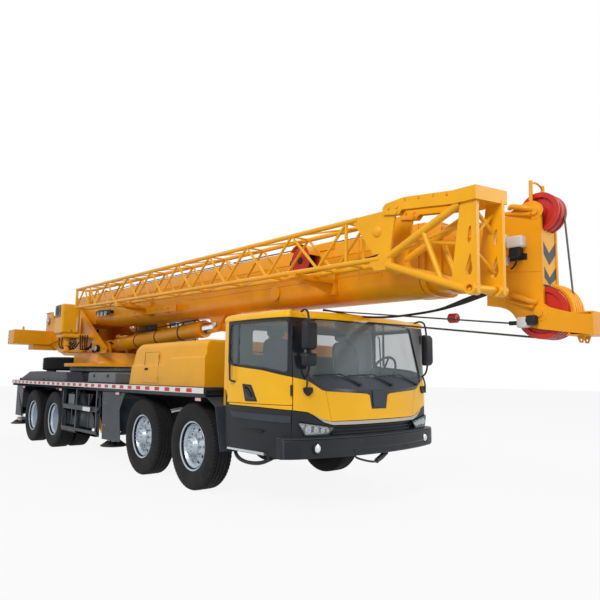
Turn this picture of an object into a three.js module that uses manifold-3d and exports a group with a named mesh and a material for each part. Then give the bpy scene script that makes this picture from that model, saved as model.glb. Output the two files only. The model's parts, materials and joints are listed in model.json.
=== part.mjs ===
// A four-axle truck crane with a telescopic boom, stowed for the road.
// Millimetres. +X is forward, +Y is left and +Z is up; the ground is at Z 0.
// Lengths along the vehicle are measured from the first axle and shifted once at the end, so that
// the origin lies on the ground below the middle of the whole machine.
import * as THREE from 'three';
import { mergeVertices } from 'three/addons/utils/BufferGeometryUtils.js';
import Module from 'manifold-3d';

const wasm = await Module();
wasm.setup();

// ---------------------------------------------------------------- clearances
const SEAT = 0.3; // between faces that rest on each other
const RUN = 0.8; // between a pin or rod and its bore, on the radius
const FREE = 6; // between pieces that move past each other

// ---------------------------------------------------------------- carrier
const AXLES = [0, -1450, -5450, -6800];
const HALF_WIDTH = 1375;
const DECK_TOP = 1300;
const DECK_SHEET = 36;
const DECK_REAR = -8300;
const DECK_FRONT = 410;
const RAIL_IN = 360; // inner face of a frame rail
const RAIL_OUT = 450;
const FRAME_BOTTOM = 740;
const FRAME_TOP = 1200;
const FRAME_PLATE = 12;
const FRAME_STEP_X = 520; // ahead of this the rails drop under the cab
const FRAME_FRONT = 1850;
const FRAME_BOX_FRONT = -2400; // the closed box section starts behind this

// ---------------------------------------------------------------- wheels
const TYRE_R = 550;
const TYRE_HALF = 157.5;
const RIM_R = 298;
const RIM_HALF = 118;
const WELL_R = 250;
const WHEEL_Y = 1147.5; // middle of a single or outer tyre
const TWIN_PITCH = 347.5;
const WHEEL_SIDES = 16;
const SPINDLE_R = 45;
const REAR_SPINDLE_R = 55;
const KINGPIN_Y = 980;
const KINGPIN_R = 25;
const KNUCKLE_LUG_IN = 92; // a knuckle's lugs start this far above and below its axle

// ---------------------------------------------------------------- outriggers
const BEAM_WIDTH = 200;
const BEAM_HEIGHT = 300;
const BEAM_WALL = 14;
const BEAM_BOTTOM = 655;
const BEAM_INNER_END = 1040;
const OUTRIGGER_X = [-2822, -8232];
const OUTRIGGER_WALL = 12;
const OUTRIGGER_HALF = 1058;
const JACK_Y = 1160;
const JACK_TUBE_R = 95;
const JACK_TUBE_Z = [500, 1120];
const JACK_ROD_R = 60;
const FLOAT_R = 215;
const FLOAT_Z = [280, 335];

// ---------------------------------------------------------------- driver's cab
const CAB_REAR = 660;
const CAB_FRONT = 2062; // at the middle of the vehicle
const CAB_HALF = 1300;
const CAB_BOW = 0.00014; // how much the front falls back, per millimetre of width squared
const CAB_TOP = 2190;
const CAB_BOTTOM = 600;
const CAB_FLOOR = 1090; // underside of the floor, which rests on the rails
const FRAME_FRONT_TOP = CAB_FLOOR - SEAT;
const CAB_WALL = 45;
const GLASS_SET = 14; // how deep the glass sits
const GLASS = 8;
const CAB_SIDE = [[1200, 1300], [1560, 1262], [1760, 1205], [1852, 1150], [1905, 1070]];
const DOOR_X = [815, 1845];
const DOOR_Z = [1142, 2115];
const DOOR_HINGE = [1848, 1172];
const HINGE_R = 14;
const HINGE_GAP = 6; // from a hinge's axis to the edge of its leaf, along the leaf
const SILL_Z = 1430; // lower edge of the windscreen
const BUMPER_BACK = 1700; // where the bumper's ends meet the cab's lower sides

// ---------------------------------------------------------------- engine hood
const HOOD_X = [-2140, 130];
const HOOD_HALF = 1200;
const HOOD_TOP = 1930;
const HOOD_SHEET = 15;

// ---------------------------------------------------------------- superstructure
const SLEW_X = -6000;
const RING_R = 780;
const RING_TOP = 1610;
const RING_SIDES = 20;
const BASE_R = 900;
const PLATE_Y = 500; // outer face of a side plate
const PLATE = 40;
const SWEEP_Z = 1885; // nothing wide hangs lower than this when the crane slews
const PIVOT = [-7150, 2780]; // boom hinge, along and up
const PIVOT_R = 60;
const FOOT_PIVOT = [-5600, 2085]; // lift cylinder's lower pin
const FOOT_PIN_R = 45;
const BARREL_R = 140;
const BARREL_LENGTH = 3750;
const ROD_R = 95;
const EYE_LOCAL = [5900, -400]; // rod's eye on the boom, from the boom hinge
const WINCHES = [[-7990, 2600], [-8690, 2790]];
const WINCH_PIN_R = 40;
const WINCH_DRUM_R = 140;
const WINCH_FLANGE_R = 205;
const OP_FLOOR = SWEEP_Z + 40; // underside of the operator's cab
const OP_X = [-5950, -4300];
const OP_Y = [560, 1340];
const OP_TOP = 3340;
const OP_WALL = 40;
const CW_X = [-8950, -8450];
const CW_Z = [2170, 2520];

// ---------------------------------------------------------------- boom, from its hinge
const BOOM_TILT = THREE.MathUtils.degToRad(1.1); // it lies nose down on the road
const BOOM_BOTTOM = -264;
const BOOM_TOP = 480;
const BOOM_HALF = 330;
const BOOM_LENGTH = 10150;
const SECTION_WALL = 10;
const SECTION_STEP = 27; // from one section's outside to the next one's, on each side
const SECTION_REACH = 190; // how far each section stands out of the last
const SECTIONS = 4;

// ================================================================ helpers
function solid(geometry) {
  geometry.deleteAttribute('normal');
  geometry.deleteAttribute('uv');
  const merged = mergeVertices(geometry, 0.002);
  const position = merged.attributes.position.array;
  const kept = [];
  const index = merged.index.array;
  for (let i = 0; i < index.length; i += 3) {
    const [a, b, c] = [index[i], index[i + 1], index[i + 2]];
    if (a !== b && b !== c && c !== a) kept.push(a, b, c);
  }
  const make = (triangles) => new wasm.Manifold(new wasm.Mesh({
    numProp: 3, vertProperties: position, triVerts: new Uint32Array(triangles),
  }));
  const body = make(kept);
  if (body.volume() > 0) return body;
  const turned = [];
  for (let i = 0; i < kept.length; i += 3) turned.push(kept[i], kept[i + 2], kept[i + 1]);
  return make(turned);
}

function geometryOf(body) {
  const mesh = body.getMesh();
  const geometry = new THREE.BufferGeometry();
  geometry.setAttribute('position', new THREE.BufferAttribute(mesh.vertProperties, 3));
  geometry.setIndex(new THREE.BufferAttribute(mesh.triVerts, 1));
  geometry.computeVertexNormals();
  return geometry;
}

const join = (...bodies) => bodies.flat().reduce((sum, body) => sum.add(body));
const cut = (body, ...tools) => tools.flat().reduce((rest, tool) => rest.subtract(tool), body);

function block([x0, x1], [y0, y1], [z0, z1]) {
  const geometry = new THREE.BoxGeometry(x1 - x0, y1 - y0, z1 - z0);
  return solid(geometry.translate((x0 + x1) / 2, (y0 + y1) / 2, (z0 + z1) / 2));
}

function extruded(points, depth) {
  const shape = new THREE.Shape(points.map(([u, v]) => new THREE.Vector2(u, v)));
  return new THREE.ExtrudeGeometry(shape, { depth, bevelEnabled: false, curveSegments: 1 });
}

// an outline seen from the side, (x, z), across the vehicle from y0 to y1
function acrossY(points, [y0, y1]) {
  return solid(extruded(points, y1 - y0).rotateX(Math.PI / 2).translate(0, y1, 0));
}

// an outline seen from above, (x, y), standing from z0 to z1
function upright(points, [z0, z1]) {
  return solid(extruded(points, z1 - z0).translate(0, 0, z0));
}

// an outline seen from the front, (y, z), along the vehicle from x0 to x1
function alongX(points, [x0, x1]) {
  const turn = new THREE.Matrix4().makeBasis(
    new THREE.Vector3(0, 1, 0), new THREE.Vector3(0, 0, 1), new THREE.Vector3(1, 0, 0));
  return solid(extruded(points, x1 - x0).applyMatrix4(turn).translate(x0, 0, 0));
}

function bar(from, to, radius, sides = 12, phase = 0) {
  const [a, b] = [new THREE.Vector3(...from), new THREE.Vector3(...to)];
  const along = b.clone().sub(a);
  const geometry = new THREE.CylinderGeometry(radius, radius, along.length(), sides, 1, false, phase);
  const turn = new THREE.Quaternion().setFromUnitVectors(
    new THREE.Vector3(0, 1, 0), along.clone().normalize());
  geometry.applyQuaternion(turn);
  return solid(geometry.translate(...a.add(b).multiplyScalar(0.5).toArray()));
}

// a bore stays RUN clear of a round pin at the middle of each flat, so the pin can turn in it
const boreRadius = (pinRadius, sides) => (pinRadius + RUN) / Math.cos(Math.PI / sides);
const bore = (from, to, pinRadius, sides) => (
  bar(from, to, boreRadius(pinRadius, sides), sides, Math.PI / sides));

// a profile of (radius, height) turned about the Y axis; one that starts off the axis is a ring
function lathe(profile, sides, phase) {
  const whole = profile[0][0] > 0 ? [...profile, profile[0]] : profile;
  return new THREE.LatheGeometry(whole.map(([r, h]) => new THREE.Vector2(r, h)), sides, phase);
}

const turnedY = (profile, sides, phase = 0) => solid(lathe(profile, sides, phase));
const turnedZ = (profile, sides) => solid(lathe(profile, sides, 0).rotateX(Math.PI / 2));

const mirrored = (body) => body.mirror([0, 1, 0]);
const both = (body) => join(body, mirrored(body));
const lifted = (body, x, y, z) => body.translate([x, y, z]);

function strip(points, thickness, span) {
  // a bent sheet that follows a line seen from the side, thickened to its left
  const lower = points.map(([x, z]) => new THREE.Vector2(x, z));
  const upper = lower.map((point, i) => {
    const before = lower[Math.max(i - 1, 0)];
    const after = lower[Math.min(i + 1, lower.length - 1)];
    const along = after.clone().sub(before).normalize();
    return point.clone().add(new THREE.Vector2(-along.y, along.x).multiplyScalar(thickness));
  });
  return acrossY([...lower, ...upper.reverse()].map((p) => [p.x, p.y]), span);
}

const crane = new THREE.Group();
const vehicle = new THREE.Group();
crane.add(vehicle);

const PAINT = { color: 0xf0a818, roughness: 0.4, metalness: 0.1 };
const DARK = { color: 0x2b323a, roughness: 0.6, metalness: 0.3 };
const BLACK = { color: 0x15171a, roughness: 0.6, metalness: 0.1 };
const STEEL = { color: 0x8e949a, roughness: 0.4, metalness: 0.8 };
const CLEAR_GLASS = { color: 0x1c2a30, roughness: 0.05, metalness: 0, opacity: 0.4, transparent: true };
const RED = { color: 0xc22a22, roughness: 0.5, metalness: 0.1 };
const TYRE = { color: 0x1b1c1e, roughness: 0.9, metalness: 0 };

function piece(name, body, look, parent = vehicle) {
  const mesh = new THREE.Mesh(geometryOf(body), new THREE.MeshStandardMaterial(look));
  mesh.name = name;
  parent.add(mesh);
  return mesh;
}

// ================================================================ frame and deck
function outriggerBox(x) {
  const halfX = BEAM_WIDTH + FREE * 2 + OUTRIGGER_WALL * 1.5;
  return block([x - halfX, x + halfX], [-OUTRIGGER_HALF, OUTRIGGER_HALF],
    [BEAM_BOTTOM - SEAT - OUTRIGGER_WALL, BEAM_BOTTOM + BEAM_HEIGHT + FREE + OUTRIGGER_WALL]);
}

const beamOffset = (BEAM_WIDTH + FREE * 2 + OUTRIGGER_WALL) / 2;

function chamber(x, side) {
  const middle = x - side * beamOffset;
  const half = BEAM_WIDTH / 2 + FREE;
  return block([middle - half, middle + half], [-OUTRIGGER_HALF - 10, OUTRIGGER_HALF + 10],
    [BEAM_BOTTOM - SEAT, BEAM_BOTTOM + BEAM_HEIGHT + FREE]);
}

function frameRails() {
  const rail = acrossY([
    [DECK_REAR, FRAME_BOTTOM], [FRAME_FRONT, FRAME_BOTTOM], [FRAME_FRONT, FRAME_FRONT_TOP],
    [FRAME_STEP_X + 120, FRAME_FRONT_TOP], [FRAME_STEP_X, FRAME_TOP], [DECK_REAR, FRAME_TOP],
  ], [RAIL_IN, RAIL_OUT]);
  return both(rail);
}

function chassisFrame() {
  const inside = [-RAIL_IN - 5, RAIL_IN + 5];
  const boxX = [DECK_REAR, FRAME_BOX_FRONT];
  const plates = [
    block(boxX, inside, [FRAME_BOTTOM, FRAME_BOTTOM + FRAME_PLATE]),
    block(boxX, inside, [FRAME_TOP - FRAME_PLATE, FRAME_TOP]),
    block([FRAME_BOX_FRONT - 30, FRAME_BOX_FRONT], inside, [FRAME_BOTTOM, FRAME_TOP]),
    block([FRAME_FRONT - 40, FRAME_FRONT], inside, [FRAME_BOTTOM, FRAME_FRONT_TOP]),
    block([560, 620], inside, [FRAME_BOTTOM, FRAME_BOTTOM + 90]),
  ];
  const body = join(frameRails(), plates, OUTRIGGER_X.map(outriggerBox));
  const openings = [
    bar([SLEW_X, 0, FRAME_TOP - 60], [SLEW_X, 0, FRAME_TOP + 10], 300, 16),
    block([-4400, -3900], [-200, 200], [FRAME_BOTTOM - 10, FRAME_BOTTOM + 60]),
    ...OUTRIGGER_X.flatMap((x) => [chamber(x, 1), chamber(x, -1)]),
  ];
  return cut(body, openings);
}
piece('chassis_frame', chassisFrame(), DARK);

const RAIL_BOARD = 40; // thickness of the striped side board
const deckHalf = HALF_WIDTH - RAIL_BOARD - SEAT;

function deckPlate() {
  const sheet = block([DECK_REAR, DECK_FRONT], [-deckHalf, deckHalf], [DECK_TOP - DECK_SHEET, DECK_TOP]);
  const bearers = [-8200, -7450, -5080, -4300, -3520, -2330, 350].map((x) => (
    block([x - 30, x + 30], [-deckHalf, deckHalf], [FRAME_TOP + SEAT, DECK_TOP - DECK_SHEET + 5])));
  const slewHole = bar([SLEW_X, 0, 1100], [SLEW_X, 0, 1400], RING_R - 60 + SEAT, RING_SIDES);
  const engineHole = block([-1950, -400], [-400, 400], [1100, 1400]);
  return cut(join(sheet, bearers), slewHole, engineHole);
}
piece('deck', deckPlate(), DARK);

// one side: striped board, mudguards and the guard between the axles
function sideAssembly(side) {
  const guardFace = HALF_WIDTH - 35;
  const board = block([DECK_REAR, DECK_FRONT], [HALF_WIDTH - RAIL_BOARD, HALF_WIDTH], [DECK_TOP - 80, DECK_TOP]);
  const skirt = block([DECK_REAR + 20, DECK_FRONT - 10], [guardFace - 4, guardFace + 10], [1176, DECK_TOP - 70]);
  const front = strip([[-2235, 560], [-2140, 1070], [-2060, 1176], [430, 1176], [620, 1075], [748, 560]],
    10, [900, guardFace]);
  const rear = strip([[-7482, 560], [-7440, 1040], [-7300, 1176], [-4960, 1176], [-4830, 1040], [-4790, 640]],
    10, [640, guardFace]);
  const panel = block([-7960, -7470], [guardFace - 24, guardFace - 5], [500, 1190]);
  const guard = [
    block([-4800, -3075], [guardFace - 50, guardFace - 5], [810, 890]),
    block([-4800, -3075], [guardFace - 50, guardFace - 5], [400, 480]),
    ...[-4780, -4070, -3110].map((x) => block([x - 25, x + 25], [guardFace - 72, guardFace - 5], [400, 1190])),
  ];
  const tank = block([-4690, -3330], [700, guardFace - 65], [520, 1100]);
  const body = join(board, skirt, front, rear, panel, guard, tank);
  return side > 0 ? body : mirrored(body);
}
piece('side_right', sideAssembly(-1), DARK);
piece('side_left', sideAssembly(1), DARK);

// ================================================================ axles, knuckles and wheels
function springBar(x0, x1, shackles) {
  const leaf = block([x0, x1], [365, 445], [625, 675]);
  return join(leaf, shackles.map((x) => block([x - 40, x + 40], [375, 435], [670, FRAME_BOTTOM - SEAT])));
}

function frontAxles() {
  const bossHalf = KNUCKLE_LUG_IN - SEAT;
  const beams = AXLES.slice(0, 2).map((x) => join(
    block([x - 60, x + 60], [-KINGPIN_Y, KINGPIN_Y], [TYRE_R - 60, TYRE_R + 60]),
    both(block([x - 70, x + 70], [360, 450], [TYRE_R, 630])),
    both(bar([x, KINGPIN_Y, TYRE_R - bossHalf], [x, KINGPIN_Y, TYRE_R + bossHalf], 55, 12)),
  ));
  const springs = both(springBar(-2050, 600, [-2000, -725, 550]));
  const bores = AXLES.slice(0, 2).map((x) => (
    both(bore([x, KINGPIN_Y, TYRE_R - 150], [x, KINGPIN_Y, TYRE_R + 150], KINGPIN_R, 12))));
  return cut(join(beams, springs), bores);
}
piece('front_axles', frontAxles(), BLACK);

function rearAxles() {
  const parts = AXLES.slice(2).flatMap((x) => {
    const tubeEnd = WHEEL_Y - TWIN_PITCH + 5;
    const tube = bar([x, -tubeEnd, TYRE_R], [x, tubeEnd, TYRE_R], 88, 10);
    const spindle = bar([x, -WHEEL_Y + 30, TYRE_R], [x, WHEEL_Y - 30, TYRE_R], REAR_SPINDLE_R, 12);
    const casing = turnedY([[0, -150], [110, -150], [182, -60], [182, 60], [110, 150], [0, 150]], 10);
    const seat = both(block([x - 70, x + 70], [360, 450], [TYRE_R, 640]));
    return [tube, spindle, lifted(casing, x, 0, TYRE_R), seat];
  });
  return join(parts, both(springBar(-7350, -4900, [-7300, -6125, -4950])));
}
piece('rear_axles', rearAxles(), BLACK);

function knuckle() {
  const [low, high] = [KNUCKLE_LUG_IN, KNUCKLE_LUG_IN + 33];
  const lug = (z0, z1) => [bar([0, 0, z0], [0, 0, z1], 58, 10), block([-50, 50], [0, 88], [z0, z1])];
  return join(
    lug(low, high), lug(-high, -low),
    bar([0, 0, -high + 5], [0, 0, high - 5], KINGPIN_R, 12),
    block([-50, 50], [70, 90], [-high, high]),
    bar([0, 85, 0], [0, WHEEL_Y - KINGPIN_Y + 125, 0], SPINDLE_R, 12),
  );
}

// tyre outline from its inner bead round the tread to the other bead, about a middle at height h
const TREAD_R = TYRE_R / Math.cos(Math.PI / WHEEL_SIDES); // its flats, not its corners, touch the ground
const tyreOutline = (h) => [
  [RIM_R, h + RIM_HALF], [450, h + TYRE_HALF], [TREAD_R, h + 128],
  [TREAD_R, h - 128], [450, h - TYRE_HALF], [RIM_R, h - RIM_HALF],
];

function steeredWheel() {
  const hole = boreRadius(SPINDLE_R, WHEEL_SIDES);
  return turnedY([
    [0, 165], [105, 165], [112, 98], [168, 98], [238, 44],
    ...tyreOutline(0),
    [WELL_R, -60], [238, 20], [165, 62], [92, 62], [92, -66], [hole, -66],
    [hole, 130], [0, 130],
  ], WHEEL_SIDES, Math.PI / WHEEL_SIDES);
}

function twinWheel() {
  const hole = boreRadius(REAR_SPINDLE_R, WHEEL_SIDES);
  const inner = -TWIN_PITCH;
  return turnedY([
    [0, 10], [95, 10], [100, -122], [225, -140], [WELL_R, 60],
    ...tyreOutline(0),
    ...tyreOutline(inner),
    [WELL_R, inner - 60], [WELL_R, -190], [110, -165],
    [110, inner + 12], [hole, inner + 12], [hole, -25], [0, -25],
  ], WHEEL_SIDES, Math.PI / WHEEL_SIDES);
}

const sides = [['right', -1], ['left', 1]];
const knuckleBody = knuckle();
const steeredBody = steeredWheel();
const twinBody = twinWheel();
for (const [label, side] of sides) {
  AXLES.forEach((x, i) => {
    const steered = i < 2;
    if (steered) {
      const holder = piece(`knuckle_${i + 1}_${label}`, knuckleBody, BLACK);
      holder.position.set(x, side * KINGPIN_Y, TYRE_R);
      if (side < 0) holder.rotation.z = Math.PI;
    }
    const wheel = piece(`wheel_${i + 1}_${label}`, steered ? steeredBody : twinBody, TYRE);
    wheel.position.set(x, side * WHEEL_Y, TYRE_R);
    if (side < 0) wheel.rotation.z = Math.PI;
  });
}

// ================================================================ outriggers
function outriggerBeam() {
  const tube = cut(
    block([-BEAM_WIDTH / 2, BEAM_WIDTH / 2], [-BEAM_INNER_END, JACK_Y - 40], [0, BEAM_HEIGHT]),
    block([-BEAM_WIDTH / 2 + BEAM_WALL, BEAM_WIDTH / 2 - BEAM_WALL], [-BEAM_INNER_END - 10, OUTRIGGER_HALF - 30],
      [BEAM_WALL, BEAM_HEIGHT - BEAM_WALL]),
  );
  const [z0, z1] = JACK_TUBE_Z.map((z) => z - BEAM_BOTTOM);
  const jackTube = bar([0, JACK_Y, z0], [0, JACK_Y, z1], JACK_TUBE_R, 12);
  const hole = bar([0, JACK_Y, z0 - 10], [0, JACK_Y, z1 - 15], JACK_ROD_R + RUN, 12);
  return cut(join(tube, jackTube), hole);
}

function jack() {
  return join(
    bar([0, 0, FLOAT_Z[1] - 20], [0, 0, JACK_TUBE_Z[1] - 60], JACK_ROD_R, 12),
    bar([0, 0, FLOAT_Z[0]], [0, 0, FLOAT_Z[1] - 25], FLOAT_R, 8).rotate([0, 0, 22.5]),
    bar([0, 0, FLOAT_Z[1] - 30], [0, 0, FLOAT_Z[1] + 25], 95, 8),
  );
}

const beamBody = outriggerBeam();
const jackBody = jack();
OUTRIGGER_X.forEach((x, i) => {
  for (const [label, side] of sides) {
    const place = ['front', 'rear'][i];
    const beamX = x - side * beamOffset;
    const beam = piece(`outrigger_${place}_${label}`, beamBody, BLACK);
    beam.position.set(beamX, 0, BEAM_BOTTOM);
    if (side < 0) beam.rotation.z = Math.PI;
    const leg = piece(`jack_${place}_${label}`, jackBody, STEEL);
    leg.position.set(beamX, side * JACK_Y, 0);
  }
});

// ================================================================ driver's cab
// plan of the front: a shallow bow that turns into the sides with round corners
function cabPlan(inset, rear) {
  const bow = [940, 500, 0].map((y) => [CAB_FRONT - CAB_BOW * y * y, y]);
  const line = [[rear, CAB_HALF], ...CAB_SIDE, ...bow].map(([x, y]) => new THREE.Vector2(x, y));
  const inward = line.map((point, i) => {
    const before = line[Math.max(i - 1, 0)];
    const after = i + 1 < line.length ? line[i + 1] : new THREE.Vector2(before.x, -before.y);
    const along = after.clone().sub(before).normalize();
    const moved = point.clone().add(new THREE.Vector2(along.y, -along.x).multiplyScalar(inset));
    return [moved.x, moved.y];
  });
  inward[0][0] = rear;
  return [...inward, ...inward.slice(0, -1).reverse().map(([x, y]) => [x, -y])];
}

function cabBody(inset) {
  const slope = inset;
  const side = acrossY([
    [CAB_REAR + 170 + slope, CAB_BOTTOM - 10], [CAB_REAR + 100 + slope, 1000], [CAB_REAR + slope, 1100],
    [CAB_REAR + slope, CAB_TOP - 70 - inset], [CAB_REAR + 60 + slope, CAB_TOP - inset],
    [1850, CAB_TOP + 10 - inset], [1935 - inset, CAB_TOP - 60 - inset], [2050 - inset, SILL_Z],
    [CAB_FRONT - inset, 1300], [CAB_FRONT - inset, CAB_BOTTOM - 10],
  ], [-CAB_HALF + inset, CAB_HALF - inset]);
  // the raked windscreen carries the bow of the plan with it, so the plan is laid on in steps of height
  const plan = upright(cabPlan(inset, CAB_REAR - 10), [CAB_BOTTOM - 20, CAB_TOP + 20]);
  return side.intersect(plan);
}

const cabOuter = cut(cabBody(0), block([0, 3000], [-2000, 2000], [0, CAB_BOTTOM]));
const cabInner = cabBody(CAB_WALL);
const glassBand = cut(cabBody(GLASS_SET), cabBody(GLASS_SET + GLASS));

function windscreenHole(gap) {
  const half = 985 - gap;
  const low = SILL_Z + gap;
  const high = 2095 - gap;
  return alongX([[-half, low], [half, low], [half - 135, high], [-half + 135, high]], [1500 + gap, 2300]);
}

const DOOR_IN = 1040; // the door's cut reaches this far in, past the curved wall

function doorHole(gap) {
  return block([DOOR_X[0] + gap, DOOR_X[1] - gap], [DOOR_IN, CAB_HALF + 10],
    [DOOR_Z[0] + gap, DOOR_Z[1] - gap]);
}

function doorWindow(gap) {
  return acrossY([
    [890 + gap, 1640 + gap], [945 + gap, 1585 + gap], [1500, 1535 + gap], [1785 - gap, 1475 + gap],
    [1785 - gap, 2065 - gap], [890 + gap, 2065 - gap],
  ], [DOOR_IN, CAB_HALF + 20]);
}

// half of each of two lift-off hinges at a place seen from above: the frame's lower knuckles or the
// door's upper ones. The leaf runs along X on the side that sign gives.
function hingeHalf([x, y], [low, high], sign, part) {
  const leaf = [x + sign * HINGE_GAP, x + sign * 44].sort((a, b) => a - b);
  return join([low + 160, high - 160].map((z) => {
    const span = part === 'frame' ? [z - 60, z - SEAT] : [z, z + 60];
    return join(
      bar([x, y, span[0]], [x, y, span[1]], HINGE_R, 6),
      block(leaf, [y - HINGE_R - 22, y - 4], span),
    );
  }));
}

function cabShell() {
  const cabin = cabInner.intersect(block([0, 3000], [-2000, 2000], [CAB_FLOOR + CAB_WALL, 3000]));
  const under = cabInner.intersect(block([0, 3000], [-2000, 2000], [0, CAB_FLOOR]));
  const frontCut = block([BUMPER_BACK - SEAT, 3000], [-2000, 2000], [500, 815]);
  const rearWay = block([500, CAB_REAR + 260], [-CAB_HALF + CAB_WALL, CAB_HALF - CAB_WALL], [500, CAB_FLOOR]);
  const rearWindow = block([CAB_REAR - 20, CAB_REAR + CAB_WALL + 20], [-900, 900], [1700, 2050]);
  const shell = cut(cabOuter, cabin, under, frontCut, rearWay, rearWindow, windscreenHole(0),
    both(doorHole(0)));
  const mirror = (y) => [
    block([1985, 2060], [y - 90, y + 90], [1580, 2050]),
    bar([2020, y, 2040], [2000, y * 0.98, 2200], 14, 6),
    bar([2000, y * 0.98, 2190], [1800, y * 0.95, 2170], 14, 6),
  ];
  return join(shell, mirror(-1040), mirror(1000), both(hingeHalf(DOOR_HINGE, DOOR_Z, 1, 'frame')));
}
piece('cab_shell', cabShell(), PAINT);

piece('windscreen', glassBand.intersect(windscreenHole(SEAT)), CLEAR_GLASS);

function cabDoor() {
  const skin = cut(cabOuter, cabInner).intersect(doorHole(FREE));
  return join(cut(skin, doorWindow(0)), hingeHalf(DOOR_HINGE, DOOR_Z, -1, 'door'));
}

function doorGlass() {
  return glassBand.intersect(doorWindow(SEAT)).intersect(block([0, 3000], [0, 2000], [0, 3000]));
}
const leftDoor = cabDoor();
const leftGlass = doorGlass();
piece('door_left', leftDoor, PAINT);
piece('door_glass_left', leftGlass, CLEAR_GLASS);
piece('door_right', mirrored(leftDoor), PAINT);
piece('door_glass_right', mirrored(leftGlass), CLEAR_GLASS);

function bumper() {
  const outline = (ahead) => {
    const points = [];
    for (const y of [-1290, -1240, -1100, -800, -400, 0, 400, 800, 1100, 1240, 1290]) {
      const corner = Math.max(0, Math.abs(y) - 1100);
      points.push([CAB_FRONT + ahead - CAB_BOW * y * y - corner * corner * 0.0016, y]);
    }
    return points;
  };
  const back = [[BUMPER_BACK, 1290], [BUMPER_BACK, 1150], [FRAME_FRONT + SEAT, 1100]];
  const rear = [...back, ...back.slice().reverse().map(([x, y]) => [x, -y])];
  const solidBar = upright([...outline(68), ...rear], [580, 800]);
  const hollow = upright([[FRAME_FRONT + 40, -1060], [1900, -1060], [2060, -500], [2060, 500], [1900, 1060],
    [FRAME_FRONT + 40, 1060]], [560, 770]);
  const frameHanger = block([FRAME_FRONT + SEAT, FRAME_FRONT + 60], [-440, 440], [FRAME_BOTTOM, 800]);
  return join(cut(solidBar, hollow), frameHanger);
}
piece('bumper', bumper(), BLACK);

const DASH_HALF = 1060; // clear of the inner edge of an opening door

function cabInterior() {
  const floor = CAB_FLOOR + CAB_WALL + SEAT;
  const console = block([880, 1500], [-390, 390], [floor, 1330]);
  const seat = both(join(
    block([960, 1460], [350, 850], [1290, 1440]),
    acrossY([[900, 1300], [1040, 1300], [960, 1960], [860, 1960]], [370, 830]),
    block([1000, 1400], [430, 770], [floor, 1300]),
  ));
  const tunnel = block([1490, 1800], [-140, 140], [floor, 1240]);
  const dash = acrossY([[1700, 1220], [2030, 1220], [2030, 1400], [1950, 1420], [1700, 1400]], [-DASH_HALF, DASH_HALF])
    .intersect(cabBody(CAB_WALL + 8));
  const column = bar([1800, 600, 1300], [1600, 600, 1480], 22, 8);
  return join(console, seat, tunnel, dash, column);
}
piece('cab_interior', cabInterior(), BLACK);

// ================================================================ engine and hood
function hood() {
  const shape = (inset, drop) => {
    const half = HOOD_HALF - inset;
    const top = HOOD_TOP - inset;
    const section = alongX([
      [-half, DECK_TOP + SEAT - drop], [half, DECK_TOP + SEAT - drop], [half, top - 90], [half - 90, top],
      [-half + 90, top], [-half, top - 90],
    ], [HOOD_X[0] - 100, HOOD_X[1] + 100]);
    const side = acrossY([
      [HOOD_X[0] + inset, DECK_TOP - 60], [HOOD_X[1] - inset, DECK_TOP - 60], [HOOD_X[1] - inset, top - 60],
      [HOOD_X[1] - 60 - inset, top + 1], [HOOD_X[0] + 260 + inset, top + 1], [HOOD_X[0] + 130 + inset, top - 110],
    ], [-half, half]);
    return section.intersect(side);
  };
  return cut(shape(0, 0), shape(HOOD_SHEET, 50));
}
piece('engine_hood', hood(), PAINT);

piece('engine_block', join(
  block([-1850, -600], [-330, 330], [700, 1750]),
  both(block([-1350, -1250], [300, RAIL_IN - SEAT], [900, 980])),
), STEEL);

// ================================================================ spare wheel
function spareWheel() {
  const flat = turnedZ([
    [130, 40], [130, 75], [WELL_R, 60], ...tyreOutline(0), [WELL_R, -60], [235, 40],
  ], 14);
  const middle = [-7450, -380, 1680];
  const rack = [
    block([-7720, -7640], [-900, 140], [DECK_TOP + SEAT, DECK_TOP + 30]),
    block([-7260, -7180], [-900, 140], [DECK_TOP + SEAT, DECK_TOP + 30]),
    ...[[-7680, -750], [-7680, -10], [-7220, -750], [-7220, -10]].map(([x, y]) => (
      bar([x, y, DECK_TOP + 20], [x, y, 1600], 30, 6))),
  ];
  return join(lifted(flat, ...middle), rack);
}
piece('spare_wheel', spareWheel(), TYRE);

// ================================================================ slewing ring and turntable
const superstructure = new THREE.Group();
superstructure.position.x = SLEW_X;
vehicle.add(superstructure);

piece('slew_ring', turnedZ([
  [RING_R - 160, FRAME_TOP + SEAT], [RING_R - 60, FRAME_TOP + SEAT], [RING_R - 60, DECK_TOP + 180],
  [RING_R - 30, DECK_TOP + 210], [RING_R, DECK_TOP + 210], [RING_R, RING_TOP], [RING_R - 100, RING_TOP],
  [RING_R - 160, RING_TOP - 60],
], RING_SIDES).translate([SLEW_X, 0, 0]), DARK);

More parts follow.
